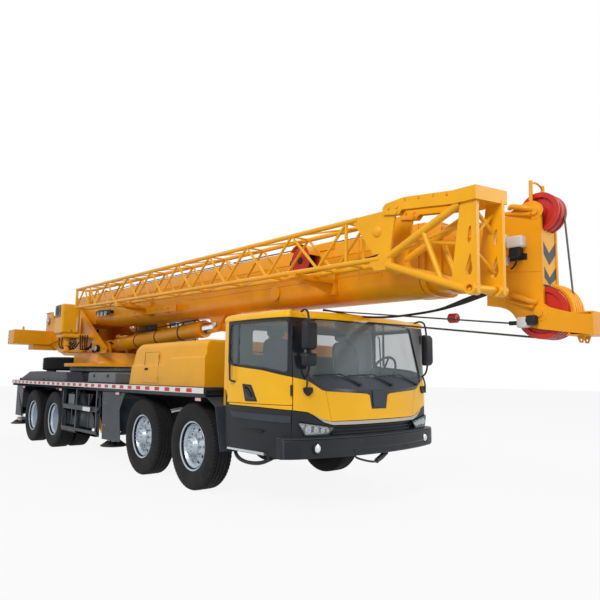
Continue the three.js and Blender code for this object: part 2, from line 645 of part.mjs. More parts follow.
function turntable() {
  const plate = acrossY([
    [-4950, SWEEP_Z], [-4950, 1965], [-6500, 2860], [-6850, 3010], [-7420, 3010], [-7650, 2760], [-8350, 2760],
    [-8500, 3000], [-8900, 3000], [-8900, CW_Z[1] + SEAT], [CW_X[1] + SEAT, CW_Z[1] + SEAT],
    [CW_X[1] + SEAT, CW_Z[0]], [-7400, SWEEP_Z],
  ], [PLATE_Y - PLATE, PLATE_Y]);
  const shelf = [CW_X[1] + SEAT, -7880];
  const parts = [
    both(plate),
    bar([SLEW_X, 0, RING_TOP + SEAT], [SLEW_X, 0, RING_TOP + 70], BASE_R, RING_SIDES),
    block([-6720, -5280], [-PLATE_Y, PLATE_Y], [RING_TOP + 60, SWEEP_Z + 20]),
    block([-7400, -6050], [-PLATE_Y, PLATE_Y], [SWEEP_Z, SWEEP_Z + 30]),
    block([-7420, -7380], [-PLATE_Y + 10, PLATE_Y - 10], [SWEEP_Z, 2250]),
    block(shelf, [-PLATE_Y + 10, PLATE_Y - 10], [CW_Z[0], CW_Z[0] + 40]),
    block([CW_X[1] + SEAT, CW_X[1] + 40], [-PLATE_Y + 10, PLATE_Y - 10], [CW_Z[0], CW_Z[1]]),
    bar([PIVOT[0], -PLATE_Y - 30, PIVOT[1]], [PIVOT[0], PLATE_Y + 30, PIVOT[1]], PIVOT_R, 12),
    both(acrossY([[FOOT_PIVOT[0] - 200, SWEEP_Z], [FOOT_PIVOT[0] + 200, SWEEP_Z], [FOOT_PIVOT[0] + 90, FOOT_PIVOT[1] + 90],
      [FOOT_PIVOT[0] - 90, FOOT_PIVOT[1] + 90]], [156, 210])),
    bar([FOOT_PIVOT[0], -205, FOOT_PIVOT[1]], [FOOT_PIVOT[0], 205, FOOT_PIVOT[1]], FOOT_PIN_R, 12),
    // arms that carry the tank and the operator's cab
    block([-6000, -5560], [-1150, -PLATE_Y + 5], [2210, 2289]),
    block([-5900, -5700], [PLATE_Y - 5, 1250], [SWEEP_Z, OP_FLOOR - SEAT]),
    block([-5150, -4970], [PLATE_Y - 5, 1250], [SWEEP_Z, OP_FLOOR - SEAT]),
    ...WINCHES.map(([x, z]) => bar([x, -PLATE_Y - 20, z], [x, PLATE_Y + 20, z], WINCH_PIN_R, 12)),
  ];
  const body = join(parts);
  return body.translate([-SLEW_X, 0, 0]);
}
piece('turntable', turntable(), PAINT, superstructure);

piece('counterweight', join(
  block(CW_X, [-HALF_WIDTH, HALF_WIDTH], CW_Z),
  block([CW_X[0] + 40, CW_X[1] - 40], [-900, 900], [CW_Z[0] - 120, CW_Z[0] + 5]),
).translate([-SLEW_X, 0, 0]), PAINT, superstructure);

piece('oil_tank', block([-6030, -5530], [-1200, -830], [2290 - 1 + SEAT, 2910])
  .translate([-SLEW_X, 0, 0]), PAINT, superstructure);

const DRUM_SIDES = 12;

function winchDrum() {
  const half = PLATE_Y - PLATE - SEAT;
  const hole = boreRadius(WINCH_PIN_R, DRUM_SIDES);
  return turnedY([
    [hole, half], [WINCH_FLANGE_R, half], [WINCH_FLANGE_R, half - 25], [WINCH_DRUM_R, half - 25],
    [WINCH_DRUM_R, -half + 25], [WINCH_FLANGE_R, -half + 25], [WINCH_FLANGE_R, -half],
    [hole, -half],
  ], DRUM_SIDES, Math.PI / DRUM_SIDES);
}
const drum = winchDrum();
WINCHES.forEach(([x, z], i) => {
  const mesh = piece(['winch_main', 'winch_auxiliary'][i], drum, BLACK, superstructure);
  mesh.position.set(x - SLEW_X, 0, z);
});

// ================================================================ operator's cab
function operatorBody(inset) {
  return acrossY([
    [OP_X[0] + inset, OP_FLOOR + inset], [OP_X[1] - 60 - inset, OP_FLOOR + inset], [OP_X[1] - inset, 2450],
    [OP_X[1] - 330 - inset, OP_TOP - 120], [OP_X[1] - 480 - inset, OP_TOP - inset], [OP_X[0] + 60 + inset, OP_TOP - inset],
    [OP_X[0] + inset, OP_TOP - 70],
  ], [OP_Y[0] + inset, OP_Y[1] - inset]);
}

const opWindow = (gap) => alongX([
  [OP_Y[0] + 70 + gap, 2060 + gap], [OP_Y[1] - 70 - gap, 2060 + gap], [OP_Y[1] - 70 - gap, 3190 - gap],
  [OP_Y[0] + 70 + gap, 3190 - gap]], [-4900 + gap, -4200]);
const opSideHole = (gap) => block([-5800 + gap, -4760 - gap], [OP_Y[0] - 20, OP_Y[0] + 60], [2350 + gap, 3180 - gap]);
const OP_DOOR_X = [-5860, -4960];
const OP_DOOR_Z = [2000, 3230];
const opHinge = [OP_DOOR_X[0] + FREE / 2, OP_Y[1] + HINGE_R + 4];
const opDoorHole = (gap) => block([OP_DOOR_X[0] + gap, OP_DOOR_X[1] - gap],
  [OP_Y[1] - OP_WALL - 1, OP_Y[1] + 20], [OP_DOOR_Z[0] + gap, OP_DOOR_Z[1] - gap]);
const opDoorWindow = (gap) => block([-5760 + gap, -5060 - gap], [OP_Y[1] - OP_WALL - 20, OP_Y[1] + 20], [2420 + gap, 3150 - gap]);
const opGlass = cut(operatorBody(GLASS_SET), operatorBody(GLASS_SET + GLASS));
const inSuperstructure = (body) => body.translate([-SLEW_X, 0, 0]);

piece('operator_cab', inSuperstructure(
  join(cut(operatorBody(0), operatorBody(OP_WALL), opWindow(0), opSideHole(0), opDoorHole(0)),
    hingeHalf(opHinge, OP_DOOR_Z, -1, 'frame'))), PAINT, superstructure);
piece('operator_windscreen', inSuperstructure(opGlass.intersect(opWindow(SEAT))), CLEAR_GLASS, superstructure);
piece('operator_side_glass', inSuperstructure(opGlass.intersect(opSideHole(SEAT))), CLEAR_GLASS, superstructure);
piece('operator_door', inSuperstructure(
  join(cut(cut(operatorBody(0), operatorBody(OP_WALL)).intersect(opDoorHole(FREE)), opDoorWindow(0)),
    hingeHalf(opHinge, OP_DOOR_Z, 1, 'door'))), PAINT, superstructure);
piece('operator_door_glass', inSuperstructure(opGlass.intersect(opDoorWindow(SEAT))), CLEAR_GLASS, superstructure);
piece('operator_seat', inSuperstructure(join(
  block([-5600, -5200], [760, 1160], [OP_FLOOR + OP_WALL + SEAT, 2280]),
  block([-5650, -5130], [720, 1200], [2270, 2400]),
  acrossY([[-5700, 2290], [-5560, 2290], [-5660, 3000], [-5760, 3000]], [740, 1180]),
)), BLACK, superstructure);

// ================================================================ lift cylinder
const boom = new THREE.Group();
boom.position.set(PIVOT[0] - SLEW_X, 0, PIVOT[1]);
boom.rotation.y = BOOM_TILT;
superstructure.add(boom);

const eyeX = PIVOT[0] + EYE_LOCAL[0] * Math.cos(BOOM_TILT) + EYE_LOCAL[1] * Math.sin(BOOM_TILT);
const eyeZ = PIVOT[1] - EYE_LOCAL[0] * Math.sin(BOOM_TILT) + EYE_LOCAL[1] * Math.cos(BOOM_TILT);
const cylinderLength = Math.hypot(eyeX - FOOT_PIVOT[0], eyeZ - FOOT_PIVOT[1]);
const cylinder = new THREE.Group();
cylinder.position.set(FOOT_PIVOT[0] - SLEW_X, 0, FOOT_PIVOT[1]);
cylinder.rotation.y = -Math.atan2(eyeZ - FOOT_PIVOT[1], eyeX - FOOT_PIVOT[0]);
superstructure.add(cylinder);

const EYE_R = 105;
piece('lift_barrel', cut(
  join(bar([0, -155.7, 0], [0, 155.7, 0], 112, 12), bar([90, 0, 0], [BARREL_LENGTH, 0, 0], BARREL_R, 16)),
  bore([0, -200, 0], [0, 200, 0], FOOT_PIN_R, 12),
  bar([400, 0, 0], [BARREL_LENGTH + 10, 0, 0], ROD_R + RUN, 16),
), PAINT, cylinder);
piece('lift_rod', join(
  bar([1000, 0, 0], [cylinderLength - 60, 0, 0], ROD_R, 16),
  bar([cylinderLength, -118, 0], [cylinderLength, 118, 0], EYE_R, 12),
), STEEL, cylinder);

// ================================================================ telescopic boom
function sectionOutline(inset) {
  const half = BOOM_HALF - inset;
  const low = BOOM_BOTTOM + inset;
  const high = BOOM_TOP - inset;
  const right = [[half, high], [half, low + 200], [half - 28, low + 105], [half - 110, low + 28], [half * 0.27, low]];
  return [...right, ...right.slice().reverse().map(([y, z]) => [-y, z])];
}

function section(i) {
  const inset = i * SECTION_STEP;
  const start = i === 0 ? -190 : 150 + i * 40;
  const end = BOOM_LENGTH + i * SECTION_REACH;
  const tube = cut(alongX(sectionOutline(inset), [start, end]),
    alongX(sectionOutline(inset + SECTION_WALL), [start - 10, end + 10]));
  if (i === SECTIONS) return tube;
  const collar = cut(alongX(sectionOutline(inset - 12), [end - 60, end]),
    alongX(sectionOutline(inset + SECTION_STEP - SEAT), [end - 70, end + 10]));
  return join(tube, collar);
}

// the stowed jib's chords, from tip to foot, and the seats that carry them
const JIB_CHORD_R = 27;
const JIB_Y = [-720, -985];
const JIB_LOW = [[1700, 75], [10050, 10]];
const JIB_HIGH = [[1700, 460], [10300, 440]];
const jibChord = ([[x0, z0], [x1, z1]], y, r = JIB_CHORD_R) => bar([x0, y, z0], [x1, y, z1], r, 6);
const JIB_BRACKETS = [3900, 8800];

function boomBase() {
  const foot = bar([0, -455, 0], [0, 455, 0], 135, 12);
  const pinBore = bore([0, -500, 0], [0, 500, 0], PIVOT_R, 12);
  const lug = acrossY([
    [EYE_LOCAL[0] - 260, BOOM_BOTTOM + 22], [EYE_LOCAL[0] - 90, EYE_LOCAL[1] - 90], [EYE_LOCAL[0] + 90, EYE_LOCAL[1] - 90],
    [EYE_LOCAL[0] + 260, BOOM_BOTTOM + 22]], [126, 166]);
  const lugBore = bar([EYE_LOCAL[0], -300, EYE_LOCAL[1]], [EYE_LOCAL[0], 300, EYE_LOCAL[1]], 46, 10);
  const brackets = JIB_BRACKETS.map((x) => join(
    block([x - 60, x + 60], [JIB_Y[1] - 40, -BOOM_HALF + 5], [-45, 35]),
    block([x - 60, x + 60], [-BOOM_HALF - 60, -BOOM_HALF + 5], [-180, 100]),
  ));
  const seats = JIB_Y.map((y) => jibChord(JIB_LOW, y, JIB_CHORD_R + SEAT * 1.2));
  const above = block([0, 11000], [-1200, -BOOM_HALF - 70], [45, 300]);
  return cut(join(section(0), foot, both(cut(lug, lugBore)), cut(join(brackets), seats, above)), pinBore);
}
piece('boom_base', boomBase(), PAINT, boom);
for (let i = 1; i < SECTIONS; i += 1) piece(`boom_section_${i}`, section(i), PAINT, boom);

const HEAD_START = BOOM_LENGTH + SECTIONS * SECTION_REACH;
const UPPER_SHEAVE = [HEAD_START + 352, 427];
const LOWER_SHEAVE = [HEAD_START + 370, -519];
const UPPER_SHEAVE_R = 190;
const LOWER_SHEAVE_R = 240;
const SHEAVE_PIN_R = 40;
const SHEAVE_SIDES = 12;
const UPPER_SHEAVE_HALF = 85;
const HEAD_Y = [125, 160]; // inner and outer face of each side plate
const HEAD_COLLAR = 262;

function boomHead() {
  const plate = acrossY([
    [20, -190], [20, 400], [91, 451], [290, 525], [405, 480], [412, -440], [600, -520], [830, -555],
    [830, -735], [583, -700], [243, -651], [161, -593], [110, -509], [29, -455], [-150, -425], [-150, -240],
  ].map(([x, z]) => [HEAD_START + x, z]), HEAD_Y);
  const collar = [[-HEAD_COLLAR, -190], [HEAD_COLLAR, -190], [HEAD_COLLAR, 345], [-HEAD_COLLAR, 345]];
  const pins = [UPPER_SHEAVE, LOWER_SHEAVE].map(([x, z]) => (
    bar([x, -HEAD_Y[1] - 25, z], [x, HEAD_Y[1] + 25, z], SHEAVE_PIN_R, 12)));
  return join(
    section(SECTIONS),
    cut(alongX(collar, [HEAD_START - 30, HEAD_START + 25]),
      alongX(sectionOutline(SECTIONS * SECTION_STEP + SECTION_WALL), [HEAD_START - 110, HEAD_START])),
    both(plate),
    block([HEAD_START + 372, HEAD_START + 399], [-HEAD_Y[1] + 5, HEAD_Y[1] - 5], [-250, 210]),
    bar([HEAD_START + 780, -HEAD_Y[1] + 5, -645], [HEAD_START + 780, HEAD_Y[1] - 5, -645], 32, 8),
    pins,
  );
}
piece('boom_head', boomHead(), PAINT, boom);

function sheaves(radius, half, grooves) {
  const pitch = (2 * half) / grooves;
  const hole = boreRadius(SHEAVE_PIN_R, SHEAVE_SIDES);
  const profile = [[hole, -half], [radius, -half]];
  for (let i = 0; i < grooves; i += 1) {
    profile.push([radius - 28, -half + (i + 0.5) * pitch], [radius, -half + (i + 1) * pitch]);
  }
  profile.push([hole, half]);
  return turnedY(profile, SHEAVE_SIDES, Math.PI / SHEAVE_SIDES);
}
const upper = piece('sheaves_upper', sheaves(UPPER_SHEAVE_R, UPPER_SHEAVE_HALF, 2), RED, boom);
upper.position.set(UPPER_SHEAVE[0], 0, UPPER_SHEAVE[1]);
const lower = piece('sheaves_lower', sheaves(LOWER_SHEAVE_R, HEAD_Y[0] - SEAT, 4), RED, boom);
lower.position.set(LOWER_SHEAVE[0], 0, LOWER_SHEAVE[1]);

// ================================================================ stowed jib
function jib() {
  const chords = JIB_Y.flatMap((y) => [jibChord(JIB_LOW, y), jibChord(JIB_HIGH, y)]);
  const at = ([[x0, z0], [x1, z1]], x) => z0 + ((x - x0) / (x1 - x0)) * (z1 - z0);
  const lacing = [];
  const bays = 6;
  const first = 1780;
  const bay = (9950 - first) / bays;
  for (let i = 0; i < bays; i += 1) {
    const [x0, xm, x1] = [first + i * bay, first + (i + 0.5) * bay, first + (i + 1) * bay];
    for (const y of JIB_Y) {
      lacing.push(bar([x0, y, at(JIB_LOW, x0)], [xm, y, at(JIB_HIGH, xm)], 15, 3));
      lacing.push(bar([xm, y, at(JIB_HIGH, xm)], [x1, y, at(JIB_LOW, x1)], 15, 3));
    }
    lacing.push(bar([x0, JIB_Y[0], at(JIB_LOW, x0)], [x0, JIB_Y[1], at(JIB_LOW, x0)], 15, 3));
  }
  const foot = JIB_Y.flatMap((y) => [
    bar([10030, y, 10], [10950, y, -395], 32, 6),
    acrossY([[10640, -250], [10980, -400], [11080, -400], [10950, 500], [10700, 500]], [y - 15, y + 15]),
    acrossY([[9650, -15], [10110, -15], [10050, 470], [9800, 470]], [y - 12, y + 12]),
    bar([10060, y, 40], [10760, y, 440], 24, 6),
    acrossY([[9850, 400], [10950, 400], [10950, 500], [9850, 480]], [y - 30, y + 30]),
  ]);
  const ties = [
    block([10880, 10950], [JIB_Y[1], JIB_Y[0]], [420, 490]),
    block([10900, 10980], [JIB_Y[1], JIB_Y[0]], [-390, -330]),
    block([9800, 9860], [JIB_Y[1], JIB_Y[0]], [-10, 60]),
    block([1690, 1760], [JIB_Y[1], JIB_Y[0]], [60, 475]),
  ];
  return join(chords, lacing, foot, ties);
}
piece('jib', jib(), PAINT, boom);

// ================================================================ hook block, stowed behind the cab
function hookBlock() {
  const [x, y, z] = [285, 0, 1950];
  return join(
    bar([x - 95, y, z], [x + 95, y, z], 235, 14),
    block([x - 60, x + 60], [y - 120, y + 120], [z - 420, z - 150]),
    bar([x, y, z - 500], [x, y, z - 400], 55, 8),
    block([x - 100, x + 100], [y - 150, y + 150], [DECK_TOP + SEAT, z - 480]),
  );
}
piece('hook_block', hookBlock(), PAINT);

// ================================================================ placing the whole machine
const [REAR_END, FRONT_END] = (() => {
  crane.updateMatrixWorld(true);
  const box = new THREE.Box3().setFromObject(crane, true);
  return [box.min.x, box.max.x];
})();
vehicle.position.x = -(REAR_END + FRONT_END) / 2;
crane.updateMatrixWorld(true);

export default crane;
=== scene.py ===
"""Looks of a four-axle truck crane, stowed for the road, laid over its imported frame.

Lengths are metres. Unless a frame is named, x is measured from the first axle, y is to the left
and z is up from the ground; the boom's own frame starts at its hinge and lies along the boom.
"""
import json
import math

import bmesh
import bpy
import numpy as np
from mathutils import Matrix, Vector
from mathutils.geometry import delaunay_2d_cdt, tessellate_polygon


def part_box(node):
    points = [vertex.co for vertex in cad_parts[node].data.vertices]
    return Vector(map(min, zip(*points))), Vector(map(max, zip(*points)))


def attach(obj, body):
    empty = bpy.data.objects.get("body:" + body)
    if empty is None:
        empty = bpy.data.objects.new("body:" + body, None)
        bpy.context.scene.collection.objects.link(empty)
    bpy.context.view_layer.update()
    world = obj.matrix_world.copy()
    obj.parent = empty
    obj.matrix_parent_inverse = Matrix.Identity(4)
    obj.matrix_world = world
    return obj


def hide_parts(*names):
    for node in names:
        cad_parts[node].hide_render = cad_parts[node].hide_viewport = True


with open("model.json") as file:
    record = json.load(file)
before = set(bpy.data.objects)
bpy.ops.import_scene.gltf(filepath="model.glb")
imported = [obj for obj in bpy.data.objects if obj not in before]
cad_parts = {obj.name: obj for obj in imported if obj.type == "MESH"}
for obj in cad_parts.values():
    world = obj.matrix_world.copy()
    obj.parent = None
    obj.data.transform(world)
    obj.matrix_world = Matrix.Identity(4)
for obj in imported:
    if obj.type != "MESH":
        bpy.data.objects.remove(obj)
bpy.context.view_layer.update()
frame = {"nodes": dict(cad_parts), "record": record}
BODY_OF = {node: body for body, nodes in frame["record"]["behaviour"]["bodies"].items()
    for node in nodes}


def middle(node):
    """The middle of a frame node's box."""
    low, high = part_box(node)
    return (np.array(low) + np.array(high)) / 2


FIRST_AXLE = middle("wheel_1_right")[0]
AXLES = [middle(f"wheel_{i}_right")[0] - FIRST_AXLE for i in (1, 2, 3, 4)]
TYRE_R = middle("wheel_1_right")[2]
WHEEL_Y = abs(middle("wheel_1_left")[1])


# ------------------------------------------------------------------ camera
def place_camera():
    """A camera low at the front right corner, turned by heading, pitch and roll."""
    heading, pitch, roll = (math.radians(a) for a in (139.139, 7.581, 0.477))
    ahead = np.array([math.cos(pitch) * math.cos(heading), math.cos(pitch) * math.sin(heading),
        math.sin(pitch)])
    level = np.cross(ahead, [0, 0, 1])
    level /= np.linalg.norm(level)
    above = np.cross(level, ahead)
    right = math.cos(roll) * level + math.sin(roll) * above
    up = math.cos(roll) * above - math.sin(roll) * level
    data = bpy.data.cameras.new("camera")
    data.sensor_width = 36
    data.lens = 33.886
    camera = bpy.data.objects.new("camera", data)
    bpy.context.scene.collection.objects.link(camera)
    place = (6.537 + FIRST_AXLE, -5.114, 1.464)
    rows = [[*pair, p] for pair, p in zip(np.stack([right, up, -ahead], 1), place)]
    camera.matrix_world = Matrix([*rows, [0, 0, 0, 1]])
    bpy.context.scene.camera = camera


place_camera()
bpy.context.scene.view_settings.view_transform = "Standard"


# ------------------------------------------------------------------ shapes, each a pair of points and faces
def rings(points, ends=True):
    """Closed rings of points, one ring per row, joined by quads; ends closes the first and last."""
    count, size = points.shape[:2]
    start = np.arange(count - 1)[:, None] * size
    j = np.arange(size)[None, :]
    k = (j + 1) % size
    faces = np.stack([start + j, start + k, start + size + k, start + size + j], -1).reshape(-1,
        4).tolist()
    if ends:
        last = (count - 1) * size
        faces += [list(range(size))[::-1], list(range(last, last + size))]
    return points.reshape(-1, 3), faces


def patch(points):
    """An open grid of points joined by quads."""
    count, size = points.shape[:2]
    start = np.arange(count - 1)[:, None] * size
    j = np.arange(size - 1)[None, :]
    faces = np.stack([start + j, start + j + 1, start + size + j + 1, start + size + j], -1)
    return points.reshape(-1, 3), faces.reshape(-1, 4).tolist()


def slab(low, high, edge=0.006):
    """A block between two corners whose edges are cut at 45 degrees: four eight-sided rings."""
    low, high = np.minimum(low, high), np.maximum(low, high)
    edge = min(edge, *((high - low) / 2.05))
    rows = []
    for z, inset in ((low[2], edge), (low[2] + edge, 0), (high[2] - edge, 0), (high[2], edge)):
        (x0, y0), (x1, y1) = low[:2] + inset, high[:2] - inset
        c = edge * 0.6 if inset else edge
        rows.append([(x0 + c, y0, z), (x1 - c, y0, z), (x1, y0 + c, z), (x1, y1 - c, z),
                     (x1 - c, y1, z), (x0 + c, y1, z), (x0, y1 - c, z), (x0, y0 + c, z)])
    return rings(np.array(rows))


def tube(path, radius, sides=10):
    """A round bar along a path: circles square to the path, set out from the axis it runs along least."""
    path = np.asarray(path, float)
    along = np.gradient(path, axis=0)
    along /= np.linalg.norm(along, axis=1)[:, None]
    axis = np.eye(3)[np.argmin(np.abs(along).max(0))]
    u = np.cross(along, axis)
    u /= np.linalg.norm(u, axis=1)[:, None]
    v = np.cross(along, u)
    turn = np.linspace(0, 2 * np.pi, sides, endpoint=False)[None, :, None]
    radius = np.broadcast_to(np.asarray(radius, float), len(path))[:, None, None]
    return rings(path[:, None] + radius * (np.cos(turn) * u[:, None] + np.sin(turn) * v[:, None]))


def eased(points, rounds=3):
    """A line whose corners are cut at a quarter and three quarters of each leg, again and again."""
    points = np.asarray(points, float)
    for _ in range(rounds):
        cuts = np.stack([points[:-1] * 0.75 + points[1:] * 0.25,
            points[:-1] * 0.25 + points[1:] * 0.75], 1)
        points = np.concatenate([points[:1], cuts.reshape(-1, points.shape[1]), points[-1:]])
    return points


AXES = {"x": (1, 2, 0), "y": (2, 0, 1), "z": (0, 1, 2)}


def turned(profile, centre, axis="y", sides=48, loop=False):
    """A profile of (radius, height) turned about an axis; loop joins its end to its start."""
    profile = np.asarray(profile, float)
    turn = np.linspace(0, 2 * np.pi, sides, endpoint=False)
    a, b, c = AXES[axis]
    points = np.zeros((len(profile), sides, 3))
    points[..., a] = profile[:, :1] * np.cos(turn)
    points[..., b] = profile[:, :1] * np.sin(turn)
    points[..., c] = profile[:, 1:]
    points += np.asarray(centre, float)
    if loop:
        points = np.concatenate([points, points[:1]])
        return rings(points, ends=False)
    return rings(points)


def plate(outline, span, axis="y", holes=()):
    """A flat outline, with holes, made as thick as span: (x, z) across y, (y, z) along x, (x, y) up z."""
    loops = [np.asarray(loop, float) for loop in (outline, *holes)]
    flat = np.concatenate(loops)
    count = len(flat)
    thirds = [list(t) for t in tessellate_polygon([[Vector((*p, 0)) for p in loop] for loop in loops])]
    faces = thirds + [[i + count for i in t[::-1]] for t in thirds]
    start = 0
    for loop in loops:
        i = np.arange(len(loop)) + start
        j = np.roll(i, -1)
        faces += np.stack([i, j, j + count, i + count], 1).tolist()
        start += len(loop)
    u, v, w = {"y": (0, 2, 1), "x": (1, 2, 0), "z": (0, 1, 2)}[axis]
    points = np.zeros((2, count, 3))
    points[..., u] = flat[:, 0]
    points[..., v] = flat[:, 1]
    points[..., w] = np.asarray(span, float)[:, None]
    return points.reshape(-1, 3), faces


def circle(centre, radius, sides=20, phase=0.0):
    """Points of a circle or, with two radii, an ellipse in a plane."""
    turn = np.linspace(0, 2 * np.pi, sides, endpoint=False) + phase
    return np.stack([np.cos(turn), np.sin(turn)], 1) * radius + np.asarray(centre, float)


def joined(*parts):
    """Several shapes as one."""
    flat = [p for part in parts for p in (part if isinstance(part, list) else [part])]
    start, points, faces = 0, [], []
    for verts, cells in flat:
        points.append(np.asarray(verts, float))
        faces += [[i + start for i in cell] for cell in cells]
        start += len(verts)
    return np.concatenate(points), faces


def flipped(part):
    """The same shape on the other side of the vehicle."""
    verts, faces = part
    return np.asarray(verts) * [1, -1, 1], [face[::-1] for face in faces]


def paired(*parts):
    """Shapes and their copies on the other side."""
    whole = joined(*parts)
    return joined(whole, flipped(whole))


def moved(part, by):
    return np.asarray(part[0]) + by, part[1]


def repeated(part, places):
    """One shape at many places."""
    return joined([moved(part, place) for place in places])


def bolts(places, axis="y", radius=0.014, height=0.012):
    """Hexagon heads that stand out along an axis, away from the middle for y."""
    parts = []
    for place in places:
        out = height * (np.sign(place[1]) if axis == "y" else 1)
        parts.append(turned([(radius, 0), (radius, out * 0.8), (radius * 0.8, out)], place, axis, 6))
    return joined(parts)


# ------------------------------------------------------------------ frames
TILT = math.radians(1.1)
HINGE = np.array([-7.150, 0, 2.780])


def carrier(points):
    return points + [FIRST_AXLE, 0, 0]


def boom(points):
    """From the boom's own frame: turned nose down about its hinge."""
    x, y, z = np.asarray(points).T
    turned_points = np.stack([x * math.cos(TILT) + z * math.sin(TILT), y, z * math.cos(TILT)
        - x * math.sin(TILT)], 1)
    return carrier(turned_points + HINGE)


# ------------------------------------------------------------------ finishes
def finish(name, colour, rough, metal=0.0, coat=0.0, mottle=0.10, patches=2.5, grain=260.0, bump=0.04,
           spread=0.10, dust=0.0, wear=0.0, stretch=(1, 1, 1), gloss=0.22):
    """A surface with slow colour patches, fine grain in its bump and roughness, dust low down and
    worn spots."""
    material = bpy.data.materials.new(name)
    material.use_nodes = True
    tree = material.node_tree
    nodes, link = tree.nodes, tree.links.new
    shader = nodes["Principled BSDF"]
    shader.inputs["Metallic"].default_value = metal
    shader.inputs["Coat Weight"].default_value = coat
    shader.inputs["Coat Roughness"].default_value = 0.08
    shader.inputs["Specular IOR Level"].default_value = gloss
    where = nodes.new("ShaderNodeTexCoord")
    scale = nodes.new("ShaderNodeMapping")
    scale.inputs["Scale"].default_value = stretch
    link(where.outputs["Object"], scale.inputs["Vector"])

    def noise(size, detail=4.0, vector=scale.outputs["Vector"]):
        n = nodes.new("ShaderNodeTexNoise")
        n.inputs["Scale"].default_value = size
        n.inputs["Detail"].default_value = detail
        link(vector, n.inputs["Vector"])
        return n.outputs["Fac"]

    def mix(factor, a, b):
        m = nodes.new("ShaderNodeMix")
        m.data_type = "RGBA"
        link(factor, m.inputs["Factor"])
        for socket, value in ((m.inputs["A"], a), (m.inputs["B"], b)):
            if isinstance(value, tuple):
                socket.default_value = (*value, 1)
            else:
                link(value, socket)
        return m.outputs["Result"]

    def spanned(value, low, high, to_low=0.0, to_high=1.0):
        r = nodes.new("ShaderNodeMapRange")
        for key, number in zip(("From Min", "From Max", "To Min", "To Max"),
            (low, high, to_low, to_high)):
            r.inputs[key].default_value = number
        link(value, r.inputs["Value"])
        return r.outputs["Result"]

    shade = tuple(c * (1 - mottle) for c in colour)
    light = tuple(min(c * (1 + mottle * 0.5), 1) for c in colour)
    result = mix(spanned(noise(patches), 0.3, 0.7), shade, light)
    if dust:
        height = nodes.new("ShaderNodeSeparateXYZ")
        link(where.outputs["Object"], height.inputs["Vector"])
        low = nodes.new("ShaderNodeMath")
        low.operation = "MULTIPLY"
        link(spanned(height.outputs["Z"], 1.1, 0.0, 0.0, dust), low.inputs[0])
        link(spanned(noise(9.0, 6.0), 0.35, 0.65), low.inputs[1])
        result = mix(low.outputs["Value"], result, (0.16, 0.13, 0.10))
    if wear:
        result = mix(spanned(noise(38.0, 8.0), 0.66, 0.74, 0.0, wear), result, (0.32, 0.31, 0.30))
    link(result, shader.inputs["Base Color"])
    fine = noise(grain, 3.0)
    link(spanned(fine, 0.25, 0.75, max(rough - spread, 0.02), min(rough + spread, 1.0)),
        shader.inputs["Roughness"])
    relief = nodes.new("ShaderNodeBump")
    relief.inputs["Strength"].default_value = bump
    relief.inputs["Distance"].default_value = 0.002
    link(fine, relief.inputs["Height"])
    link(relief.outputs["Normal"], shader.inputs["Normal"])
    return material


def glass(name, tint, alpha):
    """Clear sheet with a faint tint, slightly uneven, that lets most of the light straight through."""
    material = finish(name, tint, 0.04, mottle=0.05, bump=0.01, spread=0.02)
    shader = material.node_tree.nodes["Principled BSDF"]
    shader.inputs["Alpha"].default_value = alpha
    shader.inputs["IOR"].default_value = 1.5
    material.surface_render_method = "BLENDED"
    return material


YELLOW = finish("yellow_paint", (0.87, 0.405, 0.008), 0.30, coat=0.08, mottle=0.07, grain=320,
    bump=0.02, wear=0.10)
ORANGE = finish("boom_paint", (0.85, 0.355, 0.008), 0.34, coat=0.06, mottle=0.09, grain=300, bump=0.03,
    wear=0.12)
CAB_YELLOW = finish("cab_paint", (0.92, 0.475, 0.006), 0.24, coat=0.22, mottle=0.05, grain=380,
    bump=0.012)
SLATE = finish("slate_paint", (0.040, 0.050, 0.064), 0.45, mottle=0.25, dust=0.30, bump=0.06, wear=0.15)
BLACK = finish("black_plastic", (0.020, 0.022, 0.026), 0.46, mottle=0.2, grain=520, bump=0.12)
GLOSS_BLACK = finish("black_enamel", (0.014, 0.015, 0.018), 0.20, coat=0.5, mottle=0.2, grain=300,
    bump=0.01)
FRAME_BLACK = finish("frame_paint", (0.026, 0.029, 0.034), 0.50, mottle=0.3, dust=0.5, bump=0.08,
    wear=0.25)
RUBBER = finish("tyre_rubber", (0.013, 0.013, 0.015), 0.78, mottle=0.25, grain=420, bump=0.20,
    dust=0.08)
RIM = finish("rim_paint", (0.52, 0.60, 0.68), 0.36, metal=0.35, coat=0.2, mottle=0.12, dust=0.15,
    bump=0.03)
STEEL = finish("ground_steel", (0.50, 0.51, 0.53), 0.34, metal=0.95, mottle=0.15, stretch=(1, 12, 1),
    bump=0.06)
CHROME = finish("rod_chrome", (0.80, 0.81, 0.83), 0.10, metal=1.0, mottle=0.03, bump=0.01, spread=0.05)
ALUMINIUM = finish("step_aluminium", (0.62, 0.63, 0.64), 0.36, metal=0.85, mottle=0.14, bump=0.06)
RED = finish("sheave_red", (0.56, 0.030, 0.022), 0.34, coat=0.2, mottle=0.14, wear=0.20)
WHITE = finish("marking_white", (0.80, 0.80, 0.79), 0.40, mottle=0.06, dust=0.08)
MARK_RED = finish("marking_red", (0.62, 0.025, 0.02), 0.36, mottle=0.08)
ROPE = finish("wire_rope", (0.10, 0.095, 0.088), 0.50, metal=0.6, mottle=0.4, grain=600, bump=0.5)
HOSE = finish("hose_rubber", (0.018, 0.018, 0.020), 0.42, mottle=0.2, grain=400, bump=0.15)
IRON = finish("engine_iron", (0.17, 0.18, 0.19), 0.55, metal=0.5, mottle=0.3, bump=0.3, dust=0.2)
CLOTH = finish("seat_cloth", (0.035, 0.045, 0.075), 0.88, mottle=0.25, grain=700, bump=0.5)
